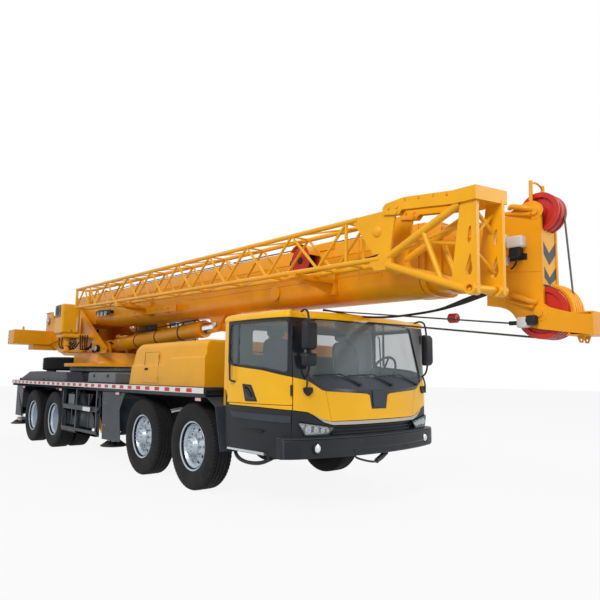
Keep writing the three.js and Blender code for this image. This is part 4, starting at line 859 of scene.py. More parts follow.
def cab_fittings():
    """Mirrors, wipers, lamps, grab rods, steps with the loop below them, and side markers."""
    black, bright = [], []
    for part in (mirror_head(1.985, -1.055, 1.735, 2.045, 0.09),
        mirror_head(1.985, -1.055, 1.560, 1.705, 0.09),
                 mirror_head(1.985, 1.015, 1.600, 2.000, 0.085)):
        black.append(part[0])
        bright.append(part[1])
    black += [tube(eased([(1.83, -1.02, 2.165), (1.93, -1.05, 2.190), (2.0, -1.055, 2.12),
        (2.015, -1.055, 1.62),
                          (1.99, -1.05, 1.50), (1.93, -1.03, 1.45)], 2), 0.012, 10),
              tube(eased([(1.83, 0.98, 2.165), (1.93, 1.01, 2.190), (2.0, 1.015, 2.12),
                  (2.015, 1.015, 1.62),
                          (1.99, 1.01, 1.50), (1.93, 0.99, 1.45)], 2), 0.012, 10)]
    for y in (-1.055, 1.015):
        black += [slab((1.985, y - 0.03, 1.706), (2.01, y + 0.03, 1.734), 0.004)]
    pad = rounded([(0.945, 1.335), (1.055, 1.335), (1.05, 1.28), (1.0, 1.235), (0.95, 1.28)], 0.02)
    black.append(paired(shell(cab_skin, on_front(pad), (), 0.04, -0.022, 0.024),
                        tube(eased([(1.935, -1.045, 1.29), (1.955, -1.04, 1.34), (1.935, -1.02, 1.45)],
                            2), 0.010, 8)))
    # wipers: pivot, arm to an elbow, then blade
    for pivot, elbow, tip in (((0.317, 1.362), (0.600, 1.478), (0.915, 1.462)),
        ((-0.213, 1.362), (0.127, 1.478), (0.455, 1.462)),
                              ((-0.800, 1.366), (-0.365, 1.478), (-0.032, 1.462))):
        def at(p, out):
            return cab_skin(on_front([p]), -out)[0]
        middle_blade = ((elbow[0] + tip[0]) / 2, (elbow[1] + tip[1]) / 2 + 0.003)
        black += [tube([at(pivot, 0.004), at(pivot, 0.040)], 0.020, 12),
            tube([at(pivot, 0.032), at(elbow, 0.045)], [0.012, 0.008], 8),
                  tube([at(elbow, 0.045), at(middle_blade, 0.034)], 0.006, 8)]
        blade = np.linspace(0, 1, 9)[:, None] * (np.array(tip) - elbow) * 1.12 + elbow - (np.array(tip)
            - elbow) * 0.06
        black.append(tube(cab_skin(on_front(blade), -0.022), 0.008, 6))
        black.append(tube(cab_skin(on_front(blade), -0.012), 0.004, 6))
    # grab rods behind the doors' windows and handles on the front
    for side in (-1, 1):
        black.append(tube(eased([(0.905, side * 1.305, 2.04), (0.905, side * 1.345, 2.03),
            (0.925, side * 1.345, 1.43),
                                 (0.935, side * 1.345, 1.395), (0.985, side * 1.305, 1.385)], 2), 0.011,
                                 10))
    # headlamps
    outline = rounded([(1.102, 0.958), (1.03, 0.832), (0.765, 0.834), (0.690, 0.893)], 0.02)
    clear = paired(shell(cab_skin, on_front(outline), (), 0.035, -0.020, 0.004))
    bowl_back = paired(shell(cab_skin, on_front(outline), (), 0.05, 0.035, 0.004))
    bezel = paired(shell(cab_skin, on_front(rounded([(1.115, 0.968), (1.037, 0.820), (0.757, 0.820),
        (0.674, 0.900)], 0.02)),
                         [on_front(outline)], 0.04, -0.016, 0.050))
    lamps = []
    for y, z, radius in ((1.00, 0.886, 0.042), (0.905, 0.880, 0.034), (0.825, 0.872, 0.030),
        (0.765, 0.868, 0.020)):
        place = cab_skin(on_front([(y, z)]), 0.016)[0]
        lamps.append(turned([(radius, 0.026), (radius * 0.96, 0.018), (radius * 0.7, 0.002),
            (radius * 0.3, -0.008), (0.001, -0.010)],
                            place, "x", 28))
        lamps.append(turned([(radius * 0.28, -0.008), (radius * 0.28, 0.010), (radius * 0.12, 0.018),
            (0.001, 0.019)], place, "x", 16))
    make("headlamps", [(CLEAR, clear), (LENS, [bowl_back, paired(*lamps)]), (GLOSS_BLACK, bezel)],
        "carrier")
    # steps
    tread = []
    for x in np.linspace(0.84, 1.50, 23):
        tread.append(slab((x, -1.292, 0.612), (x + 0.014, -1.10, 0.626), 0.003))
    step = joined(slab((0.83, -1.297, 0.598), (1.535, -1.272, 0.628), 0.004),
        slab((0.83, -1.12, 0.598), (1.535, -1.10, 0.628), 0.004),
                  slab((0.83, -1.29, 0.600), (1.535, -1.11, 0.614), 0.003), *tread)
    upper_step = joined(slab((0.90, -1.296, 0.845), (1.50, -1.21, 0.858), 0.004),
                        *[slab((x, -1.294, 0.857), (x + 0.012, -1.22, 0.865), 0.002)
                            for x in np.linspace(0.92, 1.47, 18)])
    make("cab_steps", [(ALUMINIUM, paired(step)), (BLACK, paired(
        upper_step, slab((0.80, -1.25, 0.56), (0.83, -1.0, 0.68), 0.004),
            slab((1.535, -1.25, 0.56), (1.56, -1.0, 0.68), 0.004),
        tube(eased([(0.86, -1.20, 0.60), (0.92, -1.22, 0.52), (1.12, -1.24, 0.475), (1.40, -1.23, 0.49),
            (1.56, -1.20, 0.56)], 3), 0.022, 10)))],
        "carrier")
    ellipse = [((p * [1, -1, 0.45]) + [1.79, -1.190, 0.727], f[::-1]) for p, f in
               [turned([(0.060, 0), (0.058, 0.012), (0.045, 0.020), (0.001, 0.023)], (0, 0, 0), "y",
                   32)]]
    make("side_markers", [(AMBER, paired(*ellipse))], "carrier")
    make("cab_mirrors_and_wipers", [(BLACK, black), (CHROME, bright)], "carrier",
        smooth=50)


def bumper_line(y, ahead=0.068):
    """How far forward the bumper's face is: the cab's bow with its corners turned back more sharply."""
    turn_back = np.maximum(0, np.abs(y) - 1.10)
    return 2.062 + ahead - 0.14 * y * y - 1.6 * turn_back ** 2


def bumper_bar(section, half=1.288):
    """A section of (ahead, z) carried across the front along the bumper's line."""
    y = np.linspace(-half, half, 73)
    section = np.asarray(section, float)
    points = np.zeros((len(y), len(section), 3))
    points[..., 0] = bumper_line(y)[:, None] + section[:, 0]
    points[..., 1] = y[:, None]
    points[..., 2] = section[:, 1]
    return rings(points)


def front_bumper():
    bar_part = bumper_bar([(-0.012, 0.585), (0, 0.602), (0, 0.770), (-0.014, 0.786), (-0.09, 0.790),
        (-0.10, 0.60), (-0.08, 0.585)])
    ledge = bumper_bar([(-0.006, 0.787), (-0.004, 0.797), (-0.10, 0.802), (-0.13, 0.800),
        (-0.13, 0.787)], 1.27)
    groove = bumper_bar([(0.0015, 0.660), (0.0015, 0.668), (-0.02, 0.668), (-0.02, 0.660)], 1.05)
    black, lamps = [bar_part], []
    for y in (-0.93, 0.93):
        x = float(bumper_line(np.array(y)))
        black.append(turned([(0.062, -0.01), (0.062, 0.008), (0.050, 0.012), (0.046, 0.004)],
            (x, y, 0.69), "x", 32))
        lamps.append(turned([(0.047, -0.01), (0.047, 0.002), (0.034, 0.010), (0.001, 0.013)],
            (x, y, 0.69), "x", 32))
    for y in (-0.42, 0.42):
        x = float(bumper_line(np.array(y)))
        black.append(slab((x - 0.02, y - 0.045, 0.615), (x + 0.004, y + 0.045, 0.655), 0.004))
    ends = paired(slab((1.80, -1.285, 0.59), (1.86, -1.20, 0.785), 0.01))
    frame_arms = paired(slab((1.86, -0.44, 0.60), (2.0, -0.34, 0.76), 0.008))
    loop = tube(eased([(1.99, -0.34, 0.585), (2.0, -0.345, 0.545), (2.0, -0.10, 0.480),
        (2.0, 0.04, 0.470), (2.0, 0.16, 0.52),
                       (1.99, 0.24, 0.585)], 3), 0.012, 8)
    brace = tube([(1.99, 0.02, 0.476), (1.99, 0.20, 0.565)], 0.030, 8)
    make("front_bumper", [(BLACK, black), (SLATE, [ledge, ends]),
        (FRAME_BLACK, [frame_arms, loop, brace]), (LENS, lamps),
                          (GLOSS_BLACK, groove)], "carrier", replaces=["bumper"])


def cushion(low, high, name, body, bulge=0.035, tilt=None):
    """A crowned cushion: a block whose faces swell towards their middles, its corners drawn in and smoothed.
    """
    low, high = np.array(low, float), np.array(high, float)
    n = 15
    grid = np.linspace(-1, 1, n)
    points, faces, start = [], [], 0
    for axis in range(3):
        for sign in (-1, 1):
            a, b = np.meshgrid(grid, grid, indexing="ij")
            p = np.zeros((n, n, 3))
            p[..., axis] = sign
            p[..., (axis + 1) % 3] = a
            p[..., (axis + 2) % 3] = b
            verts, cells = patch(p)
            points.append(verts)
            faces += [[i + start for i in cell] for cell in cells]
            start += len(verts)
    p = np.concatenate(points)
    half = (high - low) / 2
    norm = np.abs(p)
    corner = 0.16
    shrink = 1 - corner * (norm[:, [1, 2, 0]] ** 6 + norm[:, [2, 0, 1]] ** 6) / 2
    p = p * shrink
    swell = bulge * np.prod(1 - np.minimum(norm[:, None, :], 1) ** 2 * (1 - np.eye(3)), axis=2)
    p = p * (half - bulge * 0.7) + np.sign(p) * swell * (norm > 0.999)
    p = p + (low + high) / 2
    if tilt is not None:
        p = tilt(p)
    obj = make(name, [(CLOTH, (p, faces))], body)
    work = bmesh.new()
    work.from_mesh(obj.data)
    bmesh.ops.remove_doubles(work, verts=work.verts, dist=2e-4)
    bmesh.ops.recalc_face_normals(work, faces=work.faces)
    work.to_mesh(obj.data)
    work.free()
    soft = obj.modifiers.new("soft", "SUBSURF")
    soft.levels = soft.render_levels = 1
    obj.data.shade_smooth()
    return obj


def cab_interior():
    """Two seats with crowned cushions, the console between them, the dash, the wheel and the pedals."""
    plastic, pale, dark = [], [], []
    for side, label in ((-1, "right"), (1, "left")):
        y = side * 0.60
        plastic += [slab((0.98, y - 0.17, 1.136), (1.42, y + 0.17, 1.30), 0.02),
            slab((0.955, y - 0.255, 1.29), (1.465, y + 0.255, 1.325), 0.015)]
        cushion((0.965, y - 0.25, 1.315), (1.47, y + 0.25, 1.440), f"seat_cushion_{label}", "carrier")

        def lean(p, y=y):
            return p + np.stack([-(p[:, 2] - 1.40) * 0.16, np.zeros(len(p)), np.zeros(len(p))], 1)
        cushion((0.905, y - 0.235, 1.40), (1.035, y + 0.235, 1.93), f"seat_back_{label}", "carrier",
            0.030, lean)
        cushion((0.90, y - 0.13, 1.935), (0.985, y + 0.13, 2.055), f"head_rest_{label}", "carrier",
            0.018, lean)
    pale.append(slab((0.86, -0.33, 1.136), (1.48, 0.33, 1.33), 0.03))
    pale.append(slab((0.90, -0.22, 1.33), (1.30, 0.22, 1.355), 0.02))
    plastic.append(slab((1.48, -0.14, 1.136), (1.80, 0.14, 1.24), 0.02))
    # dash: a section carried across, its face towards the driver slanting
    y = np.linspace(-1.05, 1.05, 43)
    section = np.array([(1.76, 1.20), (1.70, 1.26), (1.705, 1.36), (1.76, 1.405), (1.90, 1.425),
        (1.975, 1.415), (1.985, 1.36), (1.97, 1.20)])
    rows = np.zeros((len(y), len(section), 3))
    rows[..., 0] = section[:, 0] - 0.10 * (y[:, None] ** 2) * (section[:, 0] > 1.8) - 0.02
    rows[..., 1] = y[:, None]
    rows[..., 2] = section[:, 1]
    plastic.append(rings(rows))
    dark.append(slab((1.69, 0.36, 1.37), (1.80, 0.84, 1.44), 0.02))
    for k in (-0.10, 0.10):
        dark.append(turned([(0.055, 0), (0.055, 0.006), (0.048, 0.008), (0.001, 0.008)],
            (1.686, 0.60 + k, 1.40), "x", 24))
    # wheel on its column, turned about a tilted axis
    ring = circle((0, 0), 0.23, 48)
    tilt_back = math.radians(62)
    axis_x = np.array([math.sin(tilt_back), 0, -math.cos(tilt_back)])
    up = np.array([math.cos(tilt_back), 0, math.sin(tilt_back)])
    centre = np.array([1.60, 0.60, 1.50])
    path = centre + ring[:, :1] * np.array([0, 1, 0]) + ring[:, 1:] * up
    loop = np.concatenate([path, path[:1]])
    dark.append(tube(loop, 0.016, 10))
    for a in (90, 210, 330):
        rim_point = centre + 0.22 * (math.cos(math.radians(a)) * np.array([0, 1, 0])
            + math.sin(math.radians(a)) * up)
        dark.append(tube([centre, rim_point], 0.013, 8))
    dark.append(tube([centre - axis_x * 0.02, centre + axis_x * 0.26], [0.05, 0.035], 16))
    for k in (0.50, 0.60, 0.70):
        dark.append(slab((1.80, k - 0.03, 1.16), (1.83, k + 0.03, 1.24), 0.006))
    make("cab_fittings_inside", [(GREY_PLASTIC, plastic), (PALE_PLASTIC, pale), (BLACK, dark)],
        "carrier",
         replaces=["cab_interior"])


for side in (-1, 1):
    door_pieces(side)
cab_panels()
cab_roof()
cab_fittings()
front_bumper()
cab_interior()


# ------------------------------------------------------------------ engine hood and deck
HOOD_REAR, HOOD_FRONT, HOOD_HALF, HOOD_TOP = -2.140, 0.130, 1.200, 1.930


def hood_crease(x):
    """Height of the pressed line along the hood's side: low behind, a short ramp, then higher."""
    return np.interp(x, [HOOD_REAR, -0.965, -0.842, HOOD_FRONT], [1.600, 1.594, 1.692, 1.697])


def engine_hood():
    """A sheet cover: flat pressed sides, round top edges, and a rear end that leans forward in two steps."""
    lean = eased([(-2.140, 1.302), (-2.085, 1.600), (-2.010, 1.860), (-1.900, 1.925),
        (-1.760, HOOD_TOP)], 3)
    nose = eased([(0.030, HOOD_TOP), (0.118, 1.925), (0.128, 1.86), (HOOD_FRONT, 1.302)], 3)
    x = np.concatenate([lean[:, 0], np.linspace(-1.70, 0.0, 35), nose[:, 0]])
    top = np.concatenate([lean[:, 1], np.full(35, HOOD_TOP), nose[:, 1]])
    turn = np.linspace(0, np.pi / 2, 7)
    rows = []
    for xi, zi in zip(x, top):
        curve = min(0.085, (zi - 1.30) * 0.5)
        crease = float(hood_crease(xi))
        levels = np.array([1.302, crease - 0.16, crease - 0.014, crease + 0.010, crease + 0.06, 1.84])
        levels = np.minimum(levels, zi - curve)
        inset = np.where(levels > crease, 0.026, 0.0)
        side = np.stack([-(HOOD_HALF - inset), levels], 1)
        bend = np.stack([-(HOOD_HALF - 0.026 - curve + curve * np.cos(turn)),
            zi - curve + curve * np.sin(turn)], 1)
        half = np.concatenate([side, bend])
        whole = np.concatenate([half, (half * [-1, 1])[::-1]])
        rows.append(np.column_stack([np.full(len(whole), xi), whole]))
    skin = patch(np.array(rows))
    skirt = [slab((HOOD_REAR + 0.01, s * 1.195 - 0.004, 1.301),
        (HOOD_FRONT - 0.01, s * 1.195 + 0.004, 1.330), 0.002)
             for s in (-1, 1)]
    door, latch, seam = [], [], []
    outline = [(-1.655, 1.330), (-1.150, 1.330), (-1.180, 1.560), (-1.180, 1.790), (-1.655, 1.790)]
    for s in (-1, 1):
        edge = np.array(outline + outline[:1])
        y = np.where(edge[:, 1] > hood_crease(edge[:, 0]), HOOD_HALF - 0.026, HOOD_HALF)
        line = np.column_stack([edge[:, 0], s * (y + 0.0005), edge[:, 1]])
        seam += [tube(np.linspace(a, b, 4), 0.0032, 6) for a, b in zip(line[:-1], line[1:])]
        latch.append(slab((-1.600, s * 1.200, 1.520), (-1.500, s * 1.212, 1.556), 0.005))
        latch.append(turned([(0.016, 0), (0.016, s * 0.016), (0.010, s * 0.020)],
            (-1.57, s * 1.200, 1.538), "y", 16))
        for z in (1.40, 1.72):
            door.append(tube([(-1.185, s * 1.205, z - 0.03), (-1.185, s * 1.205, z + 0.03)], 0.009, 8))
    grille = [slab((HOOD_FRONT - 0.004, -0.62, 1.42 + 0.05 * k),
        (HOOD_FRONT + 0.006, 0.62, 1.438 + 0.05 * k), 0.003)
              for k in range(8)]
    hinge = [tube([(x, -0.45, 1.934), (x, 0.45, 1.934)], 0.010, 8) for x in (-1.55, -0.30)]
    seams_top = [slab((x, -1.10, 1.928), (x + 0.006, 1.10, 1.932), 0.001) for x in (-1.30, -0.62)]
    obj = make("engine_hood_finished", [(YELLOW, [skin])], "carrier",
        replaces=["engine_hood"], thick=0.004)
    make("hood_fittings", [(YELLOW, [*skirt, *door, *hinge]),
        (BLACK, [*latch, *seam, *grille, *seams_top])],
         "carrier")
    return obj


def chequer(material, pitch=58.0, depth=0.35):
    """Adds raised lozenges, two crossing sets of waves, to a finish's relief."""
    tree = material.node_tree
    nodes, link = tree.nodes, tree.links.new
    where = nodes.new("ShaderNodeTexCoord")
    waves = []
    for angle in (45, -45):
        turn = nodes.new("ShaderNodeMapping")
        turn.inputs["Rotation"].default_value = (0, 0, math.radians(angle))
        link(where.outputs["Object"], turn.inputs["Vector"])
        wave = nodes.new("ShaderNodeTexWave")
        wave.inputs["Scale"].default_value = pitch / (2 * math.pi)
        link(turn.outputs["Vector"], wave.inputs["Vector"])
        waves.append(wave.outputs["Fac"])
    both = nodes.new("ShaderNodeMath")
    both.operation = "MULTIPLY"
    for value, socket in zip(waves, both.inputs):
        link(value, socket)
    relief = nodes.new("ShaderNodeBump")
    relief.inputs["Strength"].default_value = depth
    relief.inputs["Distance"].default_value = 0.004
    shader = nodes["Principled BSDF"]
    before = shader.inputs["Normal"].links[0].from_socket
    link(both.outputs["Value"], relief.inputs["Height"])
    link(before, relief.inputs["Normal"])
    link(relief.outputs["Normal"], shader.inputs["Normal"])
    return material


DECK_PLATE = chequer(finish("deck_plate", (0.050, 0.058, 0.070), 0.42, metal=0.3, mottle=0.3, dust=0.2,
    wear=0.5))


def marker_board(side):
    """The white board along the deck's edge with red blocks, a lamp at its front end and side
    markers below."""
    y = side * 1.3755
    out = side * 0.0030
    white = [slab((-8.296, y, 1.226), (0.404, y + out, 1.296), 0.0012)]
    red = [slab((-7.945 + 0.2962 * k - 0.069, y + out * 0.8, 1.236),
        (-7.945 + 0.2962 * k + 0.069, y + out * 1.35, 1.286), 0.0005)
           for k in range(28)]
    lens, base = [], []
    for x in (-7.30, -4.86, -2.19, 0.26):
        yl = side * 1.352
        base.append(slab((x - 0.075, yl, 1.125), (x + 0.075, yl + side * 0.012, 1.178), 0.005))
        lens.append(slab((x - 0.065, yl + side * 0.010, 1.131), (x + 0.065, yl + side * 0.020, 1.172),
            0.008))
    rivets = bolts([(x, y + out, 1.261) for x in np.arange(-8.15, 0.40, 0.592)], "y", 0.006, 0.003)
    label = "right" if side < 0 else "left"
    make(f"marker_board_{label}", [(WHITE, white), (MARK_RED, red), (BLACK, base), (SIDE_LENS, lens),
        (STEEL, rivets)],
         "carrier")


def deck_fittings():
    """What stands on the deck: tool boxes, a ramp of plate before the slewing ring, tie-down
    rings and guide bars."""
    box = slab((-3.80, -1.24, 1.301), (-2.62, -0.62, 1.478), 0.014)
    lids = [slab((x, -1.22, 1.476), (x + 0.55, -0.64, 1.486), 0.005) for x in (-3.77, -3.19)]
    box_left = slab((-3.95, 0.70, 1.301), (-2.60, 1.22, 1.46), 0.012)
    arches = []
    for s in (-1, 1):
        side_shape = [(-8.22, 1.301), (-4.86, 1.301), (-5.02, 1.488), (-7.28, 1.500), (-7.40, 1.494)]
        arches.append(plate(side_shape, sorted((s * 0.925, s * 1.235)), "y"))
        arches += [slab((x, s * 1.08 - 0.13, 1.497), (x + 0.30, s * 1.08 + 0.13, 1.505), 0.003)
            for x in (-7.1, -6.4, -5.7)]
    latches = [slab((x, -1.252, 1.40), (x + 0.07, -1.238, 1.45), 0.004) for x in (-3.55, -2.95)]
    hoops = [tube(eased([(x, s * 1.30, 1.300), (x, s * 1.30, 1.345), (x + 0.09, s * 1.30, 1.345),
        (x + 0.09, s * 1.30, 1.300)], 3), 0.009, 8)
             for x in (-7.9, -6.2, -4.8) for s in (-1, 1)]
    guide = [tube(eased([(-2.30, s * 0.30, 1.31), (-2.38, s * 0.30, 1.45), (-2.50, s * 0.32, 1.36),
        (-2.62, s * 0.34, 1.31)], 3), 0.022, 10)
             for s in (-1, 1)]
    make("deck_boxes", [(SLATE, [box_left, *arches]), (GREY_PLASTIC, [box, *lids]),
        (BLACK, [*latches, *hoops, *guide])], "carrier",
         bevel=0.004)


def rear_end():
    """The tail bar with its lamps, reflectors and tow jaw."""
    bar_part = slab((-8.345, -1.20, 0.86), (-8.300, 1.20, 0.985), 0.010)
    hangers = paired(slab((-8.330, 0.36, 0.80), (-8.27, 0.44, 1.19), 0.006))
    lamp_box = paired(slab((-8.362, 0.72, 0.875), (-8.340, 1.16, 0.970), 0.008))
    red = paired(slab((-8.372, 1.00, 0.885), (-8.360, 1.15, 0.960), 0.006),
        slab((-8.372, 0.73, 0.885), (-8.360, 0.84, 0.960), 0.006))
    amber = paired(slab((-8.372, 0.86, 0.885), (-8.360, 0.98, 0.960), 0.006))
    jaw = joined(plate([(-8.30, 0.70), (-8.44, 0.72), (-8.46, 0.78), (-8.44, 0.84), (-8.30, 0.86)],
        (-0.09, -0.05), "y"),
                 plate([(-8.30, 0.70), (-8.44, 0.72), (-8.46, 0.78), (-8.44, 0.84), (-8.30, 0.86)],
                     (0.05, 0.09), "y"),
                 tube([(-8.41, 0, 0.68), (-8.41, 0, 0.89)], 0.022, 12),
                     slab((-8.32, -0.14, 0.69), (-8.295, 0.14, 0.87), 0.006))
    board = slab((-8.304, -1.36, 1.226), (-8.3005, 1.36, 1.296), 0.001)
    blocks = [slab((-8.3065, y - 0.069, 1.236), (-8.3035, y + 0.069, 1.286), 0.0008)
        for y in np.arange(-1.185, 1.19, 0.2962)]
    make("tail_bar", [(FRAME_BLACK, [bar_part, hangers, jaw]), (BLACK, lamp_box),
        (MARK_RED, [red, *blocks]), (AMBER, amber),
                      (WHITE, board)], "carrier", bevel=0.0)


# ------------------------------------------------------------------ underneath
def leaf_pack(x0, x1, side, z_eye, sag, leaves=6):
    """A pack of leaf springs: curved strips, each shorter than the last, with a pin at each eye."""
    parts = []
    middle_x, half = (x0 + x1) / 2, (x1 - x0) / 2
    for k in range(leaves):
        reach = half * (1 - 0.13 * k)
        x = np.linspace(-reach, reach, 15)
        z = z_eye - sag * (1 - (x / half) ** 2) - 0.013 * k
        y = side * 0.405
        rows = np.array([[(middle_x + a, y - 0.038, b), (middle_x + a, y + 0.038, b),
            (middle_x + a, y + 0.038, b + 0.011),
                          (middle_x + a, y - 0.038, b + 0.011)] for a, b in zip(x, z)])
        parts.append(rings(rows))
    for x in (x0, x1):
        parts.append(tube([(x, side * 0.360, z_eye + 0.01), (x, side * 0.450, z_eye + 0.01)], 0.028,
            14))
    return parts


def running_gear():
    """Leaf springs, U-bolts, propeller shafts, air tanks, brake chambers, steering links and the exhaust."""
    springs, shafts, black, grey = [], [], [], []
    for side in (-1, 1):
        for axle, (x0, x1) in zip(AXLES,
            ((-0.66, 0.50), (-2.02, -0.80), (-6.02, -4.98), (-7.28, -6.22))):
            springs += leaf_pack(x0, x1, side, 0.690, 0.035)
            for dx in (-0.085, 0.085):
                for dy in (-0.048, 0.048):
                    y = side * 0.405 + dy
                    springs.append(tube([(axle + dx, y, 0.50), (axle + dx, y, 0.735)], 0.010, 8))
            black.append(slab((axle - 0.12, side * 0.405 - 0.06, 0.725),
                (axle + 0.12, side * 0.405 + 0.06, 0.742), 0.005))
            black.append(turned([(0.075, -0.06), (0.082, -0.045), (0.082, 0.0), (0.078, 0.01),
                (0.078, 0.05), (0.060, 0.075),
                                 (0.001, 0.078)], (axle - 0.19, side * 0.62, 0.66), "x", 24))
            grey.append(tube([(axle - 0.12, side * 0.62, 0.66), (axle + 0.02, side * 0.62, 0.63)],
                0.016, 8))
    for x0, x1, z0, z1 in ((-1.95, -5.25, 0.86, 0.66), (-5.66, -6.60, 0.60, 0.60),
        (-0.60, -1.95, 0.95, 0.86)):
        shafts.append(tube([(x0, 0, z0), (x1, 0, z1)], 0.052, 20))
        for x, z in ((x0, z0), (x1, z1)):
            shafts.append(turned([(0.05, -0.06), (0.085, -0.05), (0.085, -0.03), (0.06, -0.02),
                (0.06, 0.02), (0.085, 0.03),
                                  (0.085, 0.05), (0.05, 0.06)], (x, 0, z), "x", 20))
    for x, y in ((-2.95, 0.66), (-2.95, 0.96), (-3.72, 0.66), (-3.72, 0.96)):
        x0, x1 = x - 0.33, x + 0.33
        ends = eased([(0.001, -0.36), (0.09, -0.355), (0.125, -0.30), (0.125, -0.2)], 2)
        profile = np.concatenate([ends, (ends * [1, -1])[::-1]])
        grey.append(turned(profile, (x, y, 0.95), "x", 28))
        black += [turned([(0.128, -0.015), (0.131, -0.015), (0.131, 0.015), (0.128, 0.015)],
            (x + d, y, 0.95), "x", 28, loop=True)
                  for d in (-0.18, 0.18)]
        black += [slab((x + d - 0.02, y - 0.02, 1.06), (x + d + 0.02, y + 0.02, 1.262), 0.004)
            for d in (-0.18, 0.18)]
    links = [tube([(x + 0.20, -0.80, 0.50), (x + 0.20, 0.80, 0.50)], 0.020, 12) for x in AXLES[:2]]
    links.append(tube([(0.55, 0.62, 0.82), (0.10, 0.70, 0.62)], 0.022, 12))
    silencer = turned([(0.001, -0.42), (0.13, -0.42), (0.15, -0.39), (0.15, 0.39), (0.13, 0.42),
        (0.001, 0.42)], (-2.75, -0.72, 0.78), "x", 32)
    pipe = tube(eased([(-1.5, -0.33, 0.95), (-1.9, -0.50, 0.90), (-2.2, -0.70, 0.80),
        (-2.35, -0.72, 0.78)], 3), 0.045, 14)
    tail = tube(eased([(-3.15, -0.72, 0.78), (-3.35, -0.72, 0.76), (-3.42, -0.85, 0.62),
        (-3.44, -0.88, 0.56)], 3), 0.045, 14)
    straps = [turned([(0.151, -0.02), (0.156, -0.02), (0.156, 0.02), (0.151, 0.02)],
        (-2.75 + d, -0.72, 0.78), "x", 32, loop=True) for d in (-0.25, 0.25)]
    hold = [slab((-2.75 + d - 0.02, -0.74, 0.92), (-2.75 + d + 0.02, -0.70, 1.262), 0.004)
        for d in (-0.25, 0.25)]
    make("running_gear", [(FRAME_BLACK, springs), (IRON, [*shafts, *links]),
        (BLACK, [*black, *straps, *hold]),
                          (GREY_PLASTIC, grey), (STEEL, [silencer, pipe, tail])], "carrier")


def right_side_equipment():
    """Behind the side guards: the fuel tank's bands and filler, a grey locker and the yellow stay on the
    right; a battery box, a tool box and steps on the left.
    """
    bands = [plate([(-1.281, 0.515), (-1.281, 1.106), (-0.694, 1.106), (-0.694, 0.515)], (x, x + 0.05),
        "x",
                   [[(-1.2755, 0.5195), (-1.2755, 1.1005), (-0.6995, 1.1005), (-0.6995, 0.5195)]])
                       for x in (-4.45, -4.02, -3.62)]
    cap = turned([(0.055, 0), (0.055, 0.03), (0.050, 0.038), (0.001, 0.040)], (-4.25, -1.10, 1.10), "z",
        24)
    stay = joined(tube([(-3.43, -1.20, 0.80), (-3.07, -1.20, 0.47)], 0.045, 4))
    locker = slab((-4.60, -1.29, 0.82), (-4.30, -1.278, 1.08), 0.006)
    lines = [tube([(-4.16, -1.285, 0.55), (-4.16, -1.285, 1.09)], 0.006, 8),
        tube([(-4.13, -1.285, 0.55), (-4.13, -1.285, 1.09)], 0.006, 8)]
    label = slab((-3.62, -1.377, 0.815), (-3.28, -1.3735, 0.885), 0.001)
    valves = [turned([(0.03, 0), (0.034, 0.03), (0.02, 0.05), (0.001, 0.052)], (x, -1.14, z), "x", 14)
              for x, z in ((-3.30, 1.02), (-3.24, 0.92), (-3.20, 1.08))]
    loops = [tube(eased([(-3.25, -1.15, 1.16), (-3.16, -1.19, 1.05), (-3.05, -1.17, 0.92),
        (-3.02, -1.10, 0.84)], 3), 0.014, 8),
             tube(eased([(-3.35, -1.14, 1.16), (-3.30, -1.20, 1.00), (-3.18, -1.18, 0.86),
                 (-3.05, -1.10, 0.80)], 3), 0.012, 8)]
    make("right_side_equipment", [(BLACK, [*bands, cap]), (YELLOW, stay), (GREY_PLASTIC, locker),
        (HOSE, [*lines, *loops]),
                                  (WHITE, label), (RED, valves)], "carrier")
    steps = [slab((-4.60 + 0.55 * k, 1.290, 0.52), (-4.20 + 0.55 * k, 1.345, 0.555), 0.006)
        for k in range(2)]
    battery = slab((-4.60, 0.75, 0.56), (-4.02, 1.27, 1.05), 0.02)
    cover = slab((-4.63, 0.73, 1.04), (-3.99, 1.29, 1.09), 0.012)
    tool = slab((-3.86, 0.80, 0.62), (-3.34, 1.26, 1.05), 0.018)
    handles = [tube(eased([(x, 1.275, 0.86), (x, 1.31, 0.86), (x, 1.31, 0.74), (x, 1.275, 0.74)], 2),
        0.009, 8) for x in (-4.30, -3.60)]
    make("left_side_equipment", [(SLATE, [battery, tool]), (BLACK, [cover, *handles]),
        (ALUMINIUM, steps)], "carrier")


def spare():
    """The spare wheel lying on its rack."""
    verts, faces = joined(tyre((0, 0, 0)))
    flat = lambda p: (np.stack([p[0][:, 0], -p[0][:, 2], p[0][:, 1]], 1) + [-7.450, -0.380, 1.680],
        p[1])
    disc = dish([0.140, 0.165, 0.205, 0.238, 0.262], [0.04, 0.042, 0.03, 0.012, 0.0], 10, 0.024, 0.205,
        (0, 0, 0))
    channels = [slab((x - 0.04, -0.90, 1.301), (x + 0.04, 0.14, 1.332), 0.004) for x in (-7.68, -7.22)]
    posts = [tube([(x, y, 1.325), (x, y, 1.55)], 0.028, 8) for x in (-7.68, -7.22)
        for y in (-0.75, -0.01)]
    cross = [slab((-7.72, y - 0.03, 1.500), (-7.18, y + 0.03, 1.525), 0.004) for y in (-0.75, -0.01)]
    clamp = [tube([(-7.45, -0.38, 1.52), (-7.45, -0.38, 1.80)], 0.014, 10),
             turned([(0.15, 0), (0.15, 0.010), (0.03, 0.016), (0.03, 0.05), (0.001, 0.052)],
                 (-7.45, -0.38, 1.725), "z", 24)]
    make("spare_wheel_finished", [(RUBBER, flat((verts, faces))),
        (RIM, [flat(barrel(0.118, 0.252, (0, 0, 0))), flat(disc)]),
                                  (FRAME_BLACK, [*channels, *posts, *cross]), (STEEL, clamp)],
                                  "carrier",
         replaces=["spare_wheel"], smooth=40)


